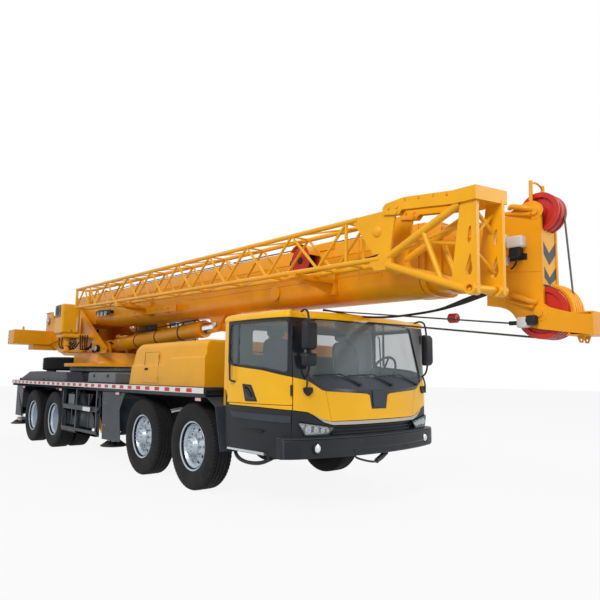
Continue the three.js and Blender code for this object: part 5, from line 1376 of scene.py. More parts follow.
def engine():
    """Block, covers, fan and sump of the engine under its hood."""
    block = slab((-1.85, -0.30, 0.95), (-0.75, 0.30, 1.50), 0.02)
    sump = rings(np.array([[(x0, -h, z), (x1, -h, z), (x1, h, z), (x0, h, z)] for x0, x1, h, z in
                           ((-1.70, -0.90, 0.14, 0.702), (-1.80, -0.80, 0.22, 0.78),
                           (-1.84, -0.76, 0.26, 0.96))]))
    heads = [slab((-1.80 + 0.17 * k, -0.16, 1.50), (-1.65 + 0.17 * k, 0.16, 1.66), 0.015)
        for k in range(6)]
    fan = [plate([(0, 0.07), (0.05, 0.12), (0.10, 0.26), (-0.02, 0.30), (-0.05, 0.12)],
        (-0.665, -0.655), "x")]
    blades = []
    for k in range(7):
        a = 2 * math.pi * k / 7
        verts, faces = fan[0]
        y, z = verts[:, 1] * math.cos(a) - verts[:, 2] * math.sin(a), verts[:,
            1] * math.sin(a) + verts[:, 2] * math.cos(a)
        blades.append((np.stack([verts[:, 0] + 0.06 * verts[:, 1], y, z + 1.20], 1), faces))
    hub = turned([(0.001, -0.02), (0.09, -0.02), (0.09, 0.06), (0.001, 0.06)], (-0.68, 0, 1.20), "x",
        24)
    turbo = turned([(0.001, -0.06), (0.09, -0.05), (0.12, 0), (0.09, 0.05), (0.001, 0.06)],
        (-1.25, -0.36, 1.50), "x", 28)
    gearbox = turned([(0.001, -0.35), (0.17, -0.33), (0.22, -0.10), (0.26, 0.12), (0.26, 0.16),
        (0.001, 0.16)], (-2.02, 0, 1.05), "x", 24)
    mounts = paired(slab((-1.35, 0.28, 0.90), (-1.25, 0.359, 0.98), 0.006))
    make("engine_finished", [(IRON, [block, sump, gearbox, turbo, mounts]), (SLATE, heads),
        (BLACK, [*blades, hub])], "carrier",
         replaces=["engine_block"])


engine_hood()
deck_fittings()
rear_end()
running_gear()
right_side_equipment()
spare()
engine()
for side in (-1, 1):
    marker_board(side)

dressed("chassis_frame", FRAME_BLACK, 0.003)
dressed("deck", DECK_PLATE, 0.003)
dressed("side_right", SLATE, 0.004)
dressed("side_left", SLATE, 0.004)
dressed("front_axles", FRAME_BLACK, 0.008)
dressed("rear_axles", FRAME_BLACK, 0.008)
for number in (1, 2):
    for label in ("right", "left"):
        dressed(f"knuckle_{number}_{label}", FRAME_BLACK, 0.006)


# ------------------------------------------------------------------ outriggers
def outrigger(end, label):
    """A beam with rounded edges, wear strips and a striped jack tube; the jack slides in it on its float."""
    side = -1 if label == "right" else 1
    node = f"outrigger_{end}_{label}"
    x = middle(f"jack_{end}_{label}")[0] - FIRST_AXLE
    y = side * 1.160
    dressed(node, FRAME_BLACK, 0.010)
    white, black, metal = [], [], []
    for k in range(6):
        z = 0.502 + 0.103 * k
        band = turned([(0.0952, z), (0.0972, z + 0.001), (0.0972, z + 0.102), (0.0952, z + 0.103)],
            (x, y, 0), "z", 32, loop=True)
        (white if k % 2 else black).append(band)
    metal.append(turned([(0.099, 0.500), (0.104, 0.503), (0.104, 0.520), (0.099, 0.524)], (x, y, 0),
        "z", 32, loop=True))
    head = turned([(0.001, 1.135), (0.070, 1.134), (0.085, 1.122), (0.085, 1.119), (0.001, 1.119)],
        (x, y, 0), "z", 28)
    ribs = [slab((x - 0.10, side * 1.03, 0.70 + d), (x + 0.10, side * 1.10, 0.712 + d), 0.003)
        for d in (0, 0.22)]
    hose = [tube(eased([(x + d, side * 1.14, 1.13), (x + d * 2, side * 1.05, 1.17),
        (x + d * 2, side * 0.96, 1.05), (x + d, side * 0.90, 0.96)], 3),
                 0.010, 8) for d in (-0.03, 0.03)]
    make(node + "_fittings", [(WHITE, white), (GLOSS_BLACK, [*black, head]), (STEEL, metal),
        (FRAME_BLACK, ribs), (HOSE, hose)], node)
    if end == "front":
        front_edge = -2.050
        cover = [(x - 0.115, 1.165), (x - 0.060, 0.400), (front_edge, 0.415),
            (front_edge - 0.075, 0.900), (front_edge + 0.105, 1.165)]
        holders = [slab((x - 0.05, side * 1.255, z), (x + 0.05, side * 1.343, z + 0.03), 0.003)
            for z in (0.62, 0.98)]
        make(node + "_cover", [(SLATE, [plate(cover, sorted((side * 1.342, side * 1.350)), "y"),
            *holders]),
                               (STEEL, bolts([(x + dx, side * 1.350, z) for dx in (-0.03, 0.05)
                               for z in (0.63, 0.99)], "y", 0.009, 0.005))],
             node)
    rod = turned([(0.001, 0.36), (0.058, 0.36), (0.060, 0.38), (0.060, 1.058), (0.001, 1.060)],
        (x, y, 0), "z", 36)
    collar = turned([(0.062, 0.352), (0.085, 0.353), (0.092, 0.362), (0.092, 0.425), (0.086, 0.432),
        (0.062, 0.433)], (x, y, 0), "z", 36,
                    loop=True)
    sole = turned([(0.001, 0.280), (0.205, 0.280), (0.215, 0.285), (0.215, 0.300), (0.200, 0.306),
        (0.110, 0.335), (0.075, 0.358),
                   (0.001, 0.360)], (x, y, 0), "z", 48)
    gussets = []
    for k in range(6):
        a = 2 * math.pi * k / 6
        along = np.array([math.cos(a), math.sin(a), 0])
        across = np.array([-math.sin(a), math.cos(a), 0]) * 0.006
        corners = [along * r + [0, 0, z] for r,
            z in ((0.075, 0.345), (0.190, 0.304), (0.190, 0.312), (0.088, 0.385))]
        rows = np.array([[c - across for c in corners], [c + across for c in corners]]) + [x, y, 0]
        gussets.append(rings(rows))
    make(f"jack_{end}_{label}_finished",
        [(CHROME, rod), (WHITE, collar), (FRAME_BLACK, [sole, *gussets])], f"jack_{end}_{label}",
         replaces=[f"jack_{end}_{label}"])


for end in ("front", "rear"):
    for label in ("right", "left"):
        outrigger(end, label)


# ------------------------------------------------------------------ slewing ring and superstructure
SLEW = np.array([-6.000, 0, 0])


def slewing():
    """A dark cone on the frame, the fixed ring with its row of bolts, and a toothed edge below the
    turning ring."""
    cone = turned([(0.62, 1.201), (0.72, 1.201), (0.72, 1.470), (0.750, 1.505), (0.775, 1.508),
        (0.775, 1.515), (0.62, 1.515)], SLEW, "z",
                  72, loop=True)
    count = 144
    turn = np.linspace(0, 2 * np.pi, count, endpoint=False)
    tooth = 0.768 + 0.010 * ((np.arange(count) % 3) > 0)
    levels = np.array([1.516, 1.522, 1.588, 1.594])
    rows = np.zeros((4, count, 3))
    shrink = np.array([0.996, 1.0, 1.0, 0.996])[:, None]
    rows[..., 0] = SLEW[0] + shrink * tooth * np.cos(turn)
    rows[..., 1] = shrink * tooth * np.sin(turn)
    rows[..., 2] = levels[:, None]
    top = turned([(0.64, 1.594), (0.772, 1.594), (0.778, 1.598), (0.778, 1.609), (0.64, 1.609)], SLEW,
        "z", 72, loop=True)
    spots = np.linspace(0, 2 * np.pi, 30, endpoint=False)
    heads = repeated(turned([(0.014, 0), (0.014, 0.012), (0.010, 0.015)], (0, 0, 0), "z", 6),
                     np.stack([SLEW[0] + 0.745 * np.cos(spots), 0.745 * np.sin(spots),
                         np.full(30, 1.515)], 1) * [1, 1, 1])
    ribs = []
    for a in np.linspace(0, 2 * np.pi, 16, endpoint=False):
        out = np.array([math.cos(a), math.sin(a), 0])
        side = np.array([-math.sin(a), math.cos(a), 0]) * 0.006
        corners = [SLEW + out * r + [0, 0, z] for r,
            z in ((0.715, 1.210), (0.79, 1.302), (0.765, 1.500), (0.715, 1.500))]
        ribs.append(rings(np.array([[c - side for c in corners], [c + side for c in corners]])))
    make("slewing_ring_finished", [(SLATE, [cone, *ribs]), (IRON, [rings(rows), top]), (STEEL, heads)],
        "carrier",
         replaces=["slew_ring"], smooth=25)


def strip(points, width, thick, y):
    """A flat bar along a line of (x, z), lying on the line's upper side."""
    points = np.asarray(points, float)
    along = np.gradient(points, axis=0)
    along /= np.linalg.norm(along, axis=1)[:, None]
    out = np.stack([along[:, 1], -along[:, 0]], 1)
    out *= np.sign(out[:, 1:])
    far = points + out * thick
    rows = np.array([[(a[0], y - width / 2, a[1]), (a[0], y + width / 2, a[1]),
        (b[0], y + width / 2, b[1]), (b[0], y - width / 2, b[1])]
                     for a, b in zip(points, far)])
    return rings(rows)


def turntable_fittings():
    """Flanges and ribs on the side plates, pin caps, a work lamp, valve block and hoses."""
    plates, black, metal, lens, hose = [], [], [], [], []
    edge = [(-4.960, 1.966), (-5.80, 2.452), (-6.50, 2.861), (-6.85, 3.011), (-7.10, 3.011),
        (-7.42, 3.011)]
    for s in (-1, 1):
        plates.append(strip(edge, 0.100, 0.014, s * 0.480))
        plates.append(strip([(-8.35, 2.762), (-7.66, 2.762)], 0.080, 0.010, s * 0.480))
        plates.append(strip([(-8.90, 3.001), (-8.52, 3.001)], 0.080, 0.010, s * 0.480))
        for x0, z0, x1, z1 in ((-6.30, 1.90, -6.30, 2.72), (-7.00, 1.92, -7.05, 2.90),
            (-8.42, 2.20, -7.50, 2.30)):
            along = np.array([x1 - x0, z1 - z0]) / math.hypot(x1 - x0, z1 - z0)
            side = np.array([-along[1], along[0]]) * 0.007
            corners = [(x0 - side[0], z0 - side[1]), (x1 - side[0], z1 - side[1]),
                (x1 + side[0], z1 + side[1]), (x0 + side[0], z0 + side[1])]
            plates.append(plate(corners, sorted((s * 0.499, s * 0.540)), "y"))
        cap = [(0.135, 0), (0.135, 0.022), (0.120, 0.030), (0.075, 0.030), (0.070, 0.042),
            (0.001, 0.044)]
        metal.append(turned([(r, s * h) for r, h in cap], (-7.150, s * 0.530, 2.780), "y", 36))
        metal.append(bolts([(-7.150 + 0.100 * math.cos(a), s * 0.556, 2.780 + 0.100 * math.sin(a))
            for a in np.arange(6) * math.pi / 3],
                           "y", 0.012, 0.012))
        for x, z in ((-7.990, 2.600), (-8.690, 2.790)):
            metal.append(turned([(r * 0.75, s * h) for r, h in cap], (x, s * 0.518, z), "y", 30))
        black += [turned([(0.05, 0.0), (0.05, s * 0.006), (0.001, s * 0.007)], (x, s * 0.500, z), "y",
            24) for x, z in
                  ((-6.72, 2.30), (-5.35, 2.02), (-6.05, 2.16))]
    lens.append(turned([(0.001, -0.012), (0.052, -0.008), (0.058, 0)], (-5.24, -0.585, 1.985), "y", 28))
    black.append(turned([(0.060, -0.086), (0.072, -0.082), (0.074, -0.03), (0.050, -0.002), (0.001, 0)],
        (-5.24, -0.50, 1.985), "y", 28))
    black.append(slab((-5.55, -0.545, 1.905), (-5.38, -0.500, 1.965), 0.008))
    # valve block and the hoses between tank, ring and lift cylinder
    metal.append(slab((-5.98, -0.96, 2.03), (-5.80, -0.78, 2.20), 0.012))
    plates.append(slab((-5.99, -1.10, 1.905), (-5.60, -0.50, 1.925), 0.004))
    plates += [tube([(x, y, 1.925), (x, y, 2.215)], 0.055, 20) for x,
        y in ((-5.70, -1.02), (-5.70, -0.66))]
    plates += [turned([(0.075, z), (0.078, z + 0.004), (0.078, z + 0.022), (0.075, z + 0.026)],
        (x, y, 0), "z", 20, loop=True)
               for x, y in ((-5.70, -1.02), (-5.70, -0.66)) for z in (1.93, 2.04, 2.17)]
    for k in range(4):
        y = -1.12 + 0.055 * k
        hose.append(tube(eased([(-5.86 + 0.04 * k, y, 2.27), (-5.90, y - 0.005, 2.08 - 0.03 * k),
            (-5.80, y + 0.02, 1.97), (-5.66, y + 0.10, 1.98),
                                (-5.62, y + 0.16, 2.12)], 3), 0.014, 8))
    for k in range(4):
        y = -0.80 + 0.05 * k
        hose.append(tube(eased([(-5.56, y, 2.27), (-5.50, y - 0.02, 2.18),
            (-5.47 - 0.015 * k, y - 0.02, 2.00), (-5.54, y + 0.03, 1.95),
                                (-5.64, -0.52, 2.02 + 0.03 * k)], 3), 0.013, 8))
    make("turntable_fittings", [(ORANGE, [*plates]), (BLACK, black), (STEEL, metal), (LENS, lens),
        (HOSE, hose)],
         "superstructure")


def tank_and_weight():
    """The oil tank with its round edges, filler, gauge and filter cover; bolts, lugs and seams on
    the counterweight."""
    body = slab((-6.030, -1.200, 2.291), (-5.530, -0.830, 2.908), 0.028)
    cover = [rings(np.array([np.column_stack([circle((-5.815, 2.765), r, 32, 0.0)[:, 0], np.full(32, y),
        circle((-5.815, 2.765), r, 32)[:, 1]])
                             for r, y in ((0.120, -1.198), (0.122, -1.207), (0.112, -1.214),
                                 (0.004, -1.217))]))]
    panel = slab((-5.965, -1.212, 2.635), (-5.665, -1.199, 2.885), 0.010)
    filler = turned([(0.050, 0), (0.050, 0.02), (0.044, 0.026), (0.001, 0.028)], (-5.90, -1.00, 2.905),
        "z", 24)
    gauge = slab((-5.528, -0.90, 2.36), (-5.518, -0.87, 2.62), 0.003)
    straps = [slab((x, -1.206, 2.289), (x + 0.035, -0.824, 2.294), 0.001) for x in (-5.97, -5.62)]
    plug = turned([(0.022, 0), (0.022, 0.016), (0.001, 0.018)], (-5.529, -1.02, 2.36), "x", 8)
    make("oil_tank_finished", [(YELLOW, [body]), (GLOSS_BLACK, [panel, filler]),
        (BLACK, [*cover, *straps]), (LENS, gauge), (STEEL, plug)],
         "superstructure", replaces=["oil_tank"], smooth=28)
    heads = bolts([(-8.905, s * 1.3745, z) for s in (-1, 1) for z in (2.215, 2.300, 2.385, 2.470)], "y",
        0.020, 0.006)
    lugs = [joined(plate([(x - 0.06, 2.520), (x + 0.06, 2.520), (x + 0.045, 2.60), (x, 2.625),
        (x - 0.045, 2.60)], (y - 0.012, y + 0.012), "y",
                         [circle((x, 2.580), 0.020, 14)])) for x in (-8.70,) for y in (-1.10, 1.10)]
    seams = [slab((-8.952, s * 0.60 - 0.004, 2.175), (-8.948, s * 0.60 + 0.004, 2.515), 0.001)
        for s in (-1, 1)]
    marks = [slab((-8.9535, y, 2.23), (-8.9505, y + 0.12, 2.46), 0.001) for y in (-1.30, 1.18)]
    make("counterweight_fittings", [(BLACK, [heads, *seams]), (ORANGE, lugs), (MARK_RED, marks)],
        "superstructure")
    dressed("counterweight", ORANGE, 0.016)


def winch(node, x, z, layers):
    """A drum between its cheeks with rope wound on it in turns."""
    half = 0.4597
    cheeks = []
    for s in (-1, 1):
        cheeks.append(turned([(0.045, s * (half - 0.025)), (0.198, s * (half - 0.025)),
            (0.205, s * (half - 0.020)), (0.205, s * (half - 0.004)),
                              (0.200, s * half), (0.045, s * half)], (x, 0, z), "y", 48, loop=True))
    core = turned([(0.045, -half + 0.02), (0.120, -half + 0.02), (0.120, half - 0.02),
        (0.045, half - 0.02)], (x, 0, z), "y", 40, loop=True)
    pitch = 0.019
    reach = half - 0.034
    outer = 0.128 + 0.017 * (layers - 1)
    count = int(2 * reach / pitch)
    y = np.linspace(-reach, reach, count)
    profile = [(0.119, -reach - 0.008)]
    for yi in y:
        profile += [(outer, yi - pitch * 0.32), (outer + 0.008, yi), (outer, yi + pitch * 0.32),
            (outer - 0.005, yi + pitch * 0.5)]
    profile += [(0.119, reach + 0.010)]
    make(node + "_finished", [(BLACK, cheeks), (IRON, core),
        (ROPE, turned(profile, (x, 0, z), "y", 40, loop=True))], node,
         replaces=[node], smooth=40)


def operator_glasses():
    """Flat panes 8 mm thick, laid in the frame nodes' own places."""
    line = np.array([(-4.3745, 2.062), (-4.3145, 2.449), (-4.628, 3.188)])
    screen = plate(np.concatenate([line, (line - [0.008, 0])[::-1]]), (0.632, 1.268), "y")
    make("operator_windscreen_pane", [(CLEAR, screen)], "superstructure",
        replaces=["operator_windscreen"])
    side = plate(eased([(-5.80, 2.35), (-4.76, 2.35), (-4.82, 3.18), (-5.80, 3.18), (-5.80, 2.35)],
        0)[:-1], (0.574, 0.582), "y")
    make("operator_side_pane", [(CLEAR, side)], "superstructure",
        replaces=["operator_side_glass"])
    door = plate([(-5.76, 2.42), (-5.06, 2.42), (-5.06, 3.15), (-5.76, 3.15)], (1.318, 1.326), "y")
    make("operator_door_pane", [(CLEAR, door)], BODY_OF["operator_door_glass"],
        replaces=["operator_door_glass"])


def operator_place():
    """Fittings of the side cab: window frames, wiper, mirror, handle, lamp, seat, console, levers
    and step."""
    dark, grey, lens = [], [], []
    front = [(-4.362, 2.063), (-4.297, 2.450), (-4.602, 3.150)]
    for y in (0.632, 1.268):
        dark.append(tube([(x + 0.004, y, z) for x, z in front], 0.013, 8))
    dark.append(tube([(-4.358, 0.63, 2.063), (-4.358, 1.27, 2.063)], 0.013, 8))
    dark.append(tube([(-4.605, 0.63, 3.165), (-4.605, 1.27, 3.165)], 0.013, 8))
    dark.append(tube([(-4.40, 0.95, 2.28), (-4.295, 0.95, 2.46), (-4.47, 0.99, 2.88)], 0.008, 8))
    dark.append(tube(eased([(-4.46, 1.33, 2.95), (-4.24, 1.355, 2.97), (-4.22, 1.358, 2.72)], 2), 0.010,
        8))
    frame_loop = [(-5.800, 2.350), (-4.760, 2.350), (-4.760, 3.180), (-5.800, 3.180)]
    for a, b in zip(frame_loop, frame_loop[1:] + frame_loop[:1]):
        dark.append(tube([(a[0], 0.566, a[1]), (b[0], 0.566, b[1])], 0.009, 8))
    grab = [tube(eased([(-4.86, 1.345, 2.10), (-4.86, 1.365, 2.12), (-4.86, 1.365, 2.62),
        (-4.86, 1.345, 2.64)], 2), 0.011, 8)]
    grey.append(slab((-5.80, 0.72, 3.338), (-5.30, 1.18, 3.3395), 0.0005))
    lens.append(turned([(0.001, 0.022), (0.045, 0.016), (0.052, 0)], (-4.315, 0.74, 2.25), "x", 24))
    step = [slab((-5.55, 1.345, 1.90), (-5.20, 1.362, 1.93), 0.004)]
    consoles = [slab((-5.55, y - 0.06, 1.967), (-5.05, y + 0.06, 2.42), 0.02) for y in (0.67, 1.245)]
    levers = [tube([(-5.12, y, 2.42), (-5.10, y, 2.56)], 0.011, 8) for y in (0.67, 1.245)]
    knobs = [turned([(0.001, 0), (0.020, 0.01), (0.026, 0.04), (0.018, 0.07), (0.001, 0.078)],
        (-5.10, y, 2.55), "z", 16) for y in (0.67, 1.245)]
    screen = slab((-4.56, 0.66, 2.50), (-4.52, 0.88, 2.68), 0.008)
    stand = tube([(-4.50, 0.77, 2.10), (-4.54, 0.77, 2.52)], 0.012, 8)
    pedals = [slab((-4.62, y - 0.05, 1.97), (-4.50, y + 0.05, 2.00), 0.006) for y in (0.86, 1.04)]
    base = slab((-5.60, 0.76, 1.967), (-5.20, 1.16, 2.255), 0.03)
    pan = slab((-5.64, 0.73, 2.250), (-5.14, 1.19, 2.285), 0.01)
    make("operator_fittings", [(BLACK, [*dark, *grab, *levers, *knobs, screen, stand, *pedals]),
        (GREY_PLASTIC, [*grey, *consoles, base, pan]),
                               (LENS, lens), (ALUMINIUM, step)], "superstructure",
                               replaces=["operator_seat"])

    def lean(p):
        return p + np.stack([-(p[:, 2] - 2.39) * 0.16, np.zeros(len(p)), np.zeros(len(p))], 1)
    cushion((-5.640, 0.725, 2.270), (-5.135, 1.195, 2.400), "operator_cushion", "superstructure")
    cushion((-5.700, 0.745, 2.370), (-5.570, 1.175, 2.960), "operator_back", "superstructure", 0.030,
        lean)
    dressed("operator_cab", CAB_YELLOW, 0.010)
    dressed("operator_door", CAB_YELLOW, 0.006)
    handle = [slab((-5.03, 1.340, 2.28), (-4.985, 1.358, 2.42), 0.006)]
    seal = []
    loop = [(-5.760, 2.420), (-5.060, 2.420), (-5.060, 3.150), (-5.760, 3.150)]
    for a, b in zip(loop, loop[1:] + loop[:1]):
        seal.append(tube([(a[0], 1.336, a[1]), (b[0], 1.336, b[1])], 0.009, 8))
    make("operator_door_fittings", [(BLACK, [*handle, *seal])], "operator_door")


FOOT = np.array([-5.600, 0, 2.085])
EYE = boom(np.array([[5.900, 0, -0.400]]))[0] - [FIRST_AXLE, 0, 0]


def cylinder(points):
    """From the lift cylinder's own frame, which starts at its lower pin and points at the rod's eye."""
    along = (EYE - FOOT) / np.linalg.norm(EYE - FOOT)
    up = np.array([-along[2], 0, along[0]])
    x, y, z = np.asarray(points, float).T
    return carrier(FOOT + x[:, None] * along + y[:, None] * [0, 1, 0] + z[:, None] * up)


def lift_cylinder():
    """Barrel with gland, end cap and pipes; chromed rod and its round eye."""
    length = float(np.linalg.norm(EYE - FOOT))
    body = turned([(0.001, 0.10), (0.120, 0.11), (0.140, 0.14), (0.140, 3.60), (0.150, 3.615),
        (0.150, 3.735), (0.143, 3.749), (0.101, 3.749),
                   (0.097, 3.70), (0.097, 0.50), (0.001, 0.50)], (0, 0, 0), "x", 48)
    eye = turned([(0.047, -0.155), (0.104, -0.155), (0.112, -0.148), (0.112, 0.148), (0.104, 0.155),
        (0.047, 0.155)], (0, 0, 0), "y", 40, loop=True)
    weld = turned([(0.141, 0.42), (0.146, 0.425), (0.146, 0.455), (0.141, 0.46)], (0, 0, 0), "x", 48,
        loop=True)
    pipe = [tube(eased([(0.30, -0.05, 0.14), (0.32, -0.07, 0.185), (0.60, -0.07, 0.178),
        (3.50, -0.07, 0.178), (3.62, -0.05, 0.15)], 3), 0.014, 10),
            tube(eased([(0.24, -0.16, 0.02), (0.10, -0.185, 0.06), (-0.02, -0.19, 0.02),
                (0.02, -0.17, -0.08), (0.10, -0.17, -0.14)], 3), 0.015, 8)]
    clips = [turned([(0.1405, x), (0.146, x), (0.146, x + 0.035), (0.1405, x + 0.035)], (0, 0, 0), "x",
        40, loop=True) for x in (1.2, 2.1, 3.0)]
    block = slab((0.20, -0.09, 0.128), (0.42, 0.09, 0.200), 0.010)
    make("lift_barrel_finished", [(ORANGE, [body, eye, block]), (BLACK, [*clips]), (HOSE, pipe),
        (STEEL, weld)], "lift_barrel",
         replaces=["lift_barrel"], place=cylinder)
    rod = turned([(0.001, 1.0), (0.090, 1.0), (0.095, 1.01), (0.095, length - 0.14),
        (0.080, length - 0.10), (0.001, length - 0.08)], (0, 0, 0),
                 "x", 40)
    boss = turned([(0.046, -0.117), (0.098, -0.117), (0.105, -0.110), (0.105, 0.110), (0.098, 0.117),
        (0.046, 0.117)], (length, 0, 0), "y", 40,
                  loop=True)
    make("lift_rod_finished", [(CHROME, rod), (ORANGE, boss)], "lift_rod",
        replaces=["lift_rod"], place=cylinder)


slewing()
dressed("turntable", ORANGE, 0.006)
turntable_fittings()
tank_and_weight()
winch("winch_main", -7.990, 2.600, 3)
winch("winch_auxiliary", -8.690, 2.790, 2)
operator_place()
operator_glasses()
lift_cylinder()


# ------------------------------------------------------------------ boom, in its own frame
BOOM_LOW, BOOM_HIGH, BOOM_HALF = -0.264, 0.480, 0.330
LENGTH, REACH, STEP, WALL = 10.150, 0.190, 0.027, 0.010
HEAD = LENGTH + 4 * REACH


def section_outline(inset):
    """A box with a round belly: straight top and sides, and a lower half that bends in one smooth curve."""
    half, low, high = BOOM_HALF - inset, BOOM_LOW + inset, BOOM_HIGH - inset
    belly = eased([(half, low + 0.26), (half - 0.004, low + 0.115), (half - 0.10, low + 0.018),
        (half * 0.30, low), (0, low)], 3)
    top = [(half - 0.014, high), (half - 0.003, high - 0.005), (half, high - 0.016)]
    right = np.concatenate([top, belly])
    return np.concatenate([right, (right[:-1] * [-1, 1])[::-1]])


def section_tube(number, start, end):
    return plate(section_outline(number * STEP), (start, end), "x",
        [section_outline(number * STEP + WALL)[::-1]])


def end_collar(number, end):
    """A ring of plate round a section's end with bolts for the wear pads."""
    inset = number * STEP
    ring = plate(section_outline(inset - 0.010), (end - 0.058, end), "x",
        [section_outline(inset + STEP - 0.002)[::-1]])
    pads = [(s * (BOOM_HALF - inset + 0.010), z) for s in (-1, 1) for z in (0.28, 0.36)]
    return ring, bolts([(end - 0.030, y, z) for y, z in pads], "y", 0.011, 0.006)


def boom_tubes():
    """The telescopic sections with their end collars, nested in one another."""
    for number in range(1, 4):
        end = LENGTH + number * REACH
        ring, heads = end_collar(number, end)
        make(f"boom_section_{number}_finished",
            [(ORANGE, [section_tube(number, 0.15 + 0.04 * number, end), ring]), (STEEL, heads)],
             f"boom_section_{number}", replaces=[f"boom_section_{number}"], place=boom,
                 smooth=28)


def boom_base():
    """The outer section: foot with its pin boss, cylinder lugs, side ledges, end collar and jib carriers."""
    ring, heads = end_collar(0, LENGTH)
    thick_ring = plate(section_outline(-0.012), (LENGTH - 0.30, LENGTH - 0.075), "x",
        [section_outline(0.001)[::-1]])
    foot = turned([(0.061, -0.455), (0.128, -0.455), (0.135, -0.448), (0.135, 0.448), (0.128, 0.455),
        (0.061, 0.455)], (0, 0, 0), "y", 48, loop=True)
    lug = []
    for y in ((0.126, 0.166), (-0.166, -0.126)):
        arc = circle((5.900, -0.400), 0.105, 28)
        arc = arc[arc[:, 1] < -0.385]
        arc = arc[np.argsort(-arc[:, 0])]
        outline = np.concatenate([[(5.640, BOOM_LOW + 0.02), (6.160, BOOM_LOW + 0.02)], arc])
        lug.append(plate(outline, y, "y", [circle((5.900, -0.400), 0.046, 20)]))
        lug.append(turned([(0.047, y[0] - 0.008), (0.085, y[0] - 0.008), (0.085, y[1] + 0.008),
            (0.047, y[1] + 0.008)], (5.900, 0, -0.400), "y", 28,
                          loop=True))
    pin = turned([(0.001, -0.205), (0.038, -0.205), (0.045, -0.198), (0.045, 0.198), (0.038, 0.205),
        (0.001, 0.205)], (5.900, 0, -0.400), "y", 24)
    hub = [turned([(0.10, s * 0.328), (0.10, s * 0.348), (0.085, s * 0.356), (0.001, s * 0.358)],
        (7.645, 0, -0.06), "y", 30) for s in (-1, 1)]
    ledges = []
    for s in (-1, 1):
        for z, x0, x1 in ((0.030, 5.2, 9.95), (0.300, 0.4, 9.95)):
            ledges.append(slab((x0, s * 0.329, z - 0.006), (x1, s * 0.337, z + 0.006), 0.003))
        ledges += [slab((x, s * 0.329, -0.02), (x + 0.012, s * 0.340, 0.462), 0.003)
            for x in (0.9, 2.2, 9.2, 9.55)]
    top = [slab((0.3, s * 0.20 - 0.02, 0.479), (9.9, s * 0.20 + 0.02, 0.486), 0.003) for s in (-1, 1)]
    doubler = [plate([(-0.10, 0.46), (-0.17, 0.20), (-0.165, -0.10), (0.10, -0.24), (1.25, -0.20),
        (0.85, 0.46)], sorted((s * 0.330, s * 0.342)), "y",
                     [circle((0, 0), 0.140, 28)[::-1]]) for s in (-1, 1)]
    carriers = []
    for x in (3.900, 8.800):
        carriers.append(slab((x - 0.06, -1.020, -0.045), (x + 0.06, -0.325, 0.008), 0.006))
        carriers.append(slab((x - 0.06, -0.392, -0.18), (x + 0.06, -0.325, 0.10), 0.006))
        for y in (-0.720, -0.985):
            z = jib_low(x)
            arc = circle((y, z), 0.0275, 24)
            arc = arc[arc[:, 1] < z + 0.002]
            arc = arc[np.argsort(arc[:, 0])]
            clamp = np.concatenate([[(y - 0.040, -0.005), (y - 0.040, z)], arc,
                [(y + 0.040, z), (y + 0.040, -0.005)]])
            carriers.append(plate(clamp, (x - 0.05, x + 0.05), "x"))
        carriers.append(plate([(-0.90, -0.044), (-0.392, -0.175), (-0.392, -0.044)],
            (x - 0.006, x + 0.006), "x"))
    tray = plate([(3.28, -0.150), (5.10, -0.150), (5.10, -0.028), (3.42, -0.028), (3.28, -0.060)],
        (-0.470, -0.462), "y",
                 [circle((3.50 + 0.22 * k, -0.095), 0.022, 14) for k in range(7)])
    tray_back = [slab((x, -0.465, -0.150), (x + 0.012, -0.329, -0.030), 0.003)
        for x in (3.32, 4.0, 4.6, 5.06)]
    dark_bracket = plate([(1.42, -0.02), (2.20, -0.05), (2.20, 0.06), (1.60, 0.08), (1.42, 0.05)],
        (-0.430, -0.420), "y")
    dark_arms = [slab((x, -0.425, -0.01), (x + 0.02, -0.329, 0.05), 0.004) for x in (1.46, 1.80, 2.14)]
    loops = [tube(eased([(x, -0.438, 0.03), (x + 0.02, -0.455, -0.05), (x + 0.07, -0.455, -0.06),
        (x + 0.09, -0.438, 0.02)], 3), 0.010, 8)
             for x in (1.55, 1.75, 1.95)]
    make("boom_base_finished", [(ORANGE,
        [section_tube(0, -0.19, LENGTH), ring, thick_ring, foot, *lug, *hub, *ledges, *top, *doubler,
            *carriers,
                                          tray, *tray_back]),
                                (STEEL, [heads, pin]), (BLACK, [dark_bracket, *dark_arms]),
                                (WHITE, loops)],
         "boom_base", replaces=["boom_base"], place=boom, smooth=28)


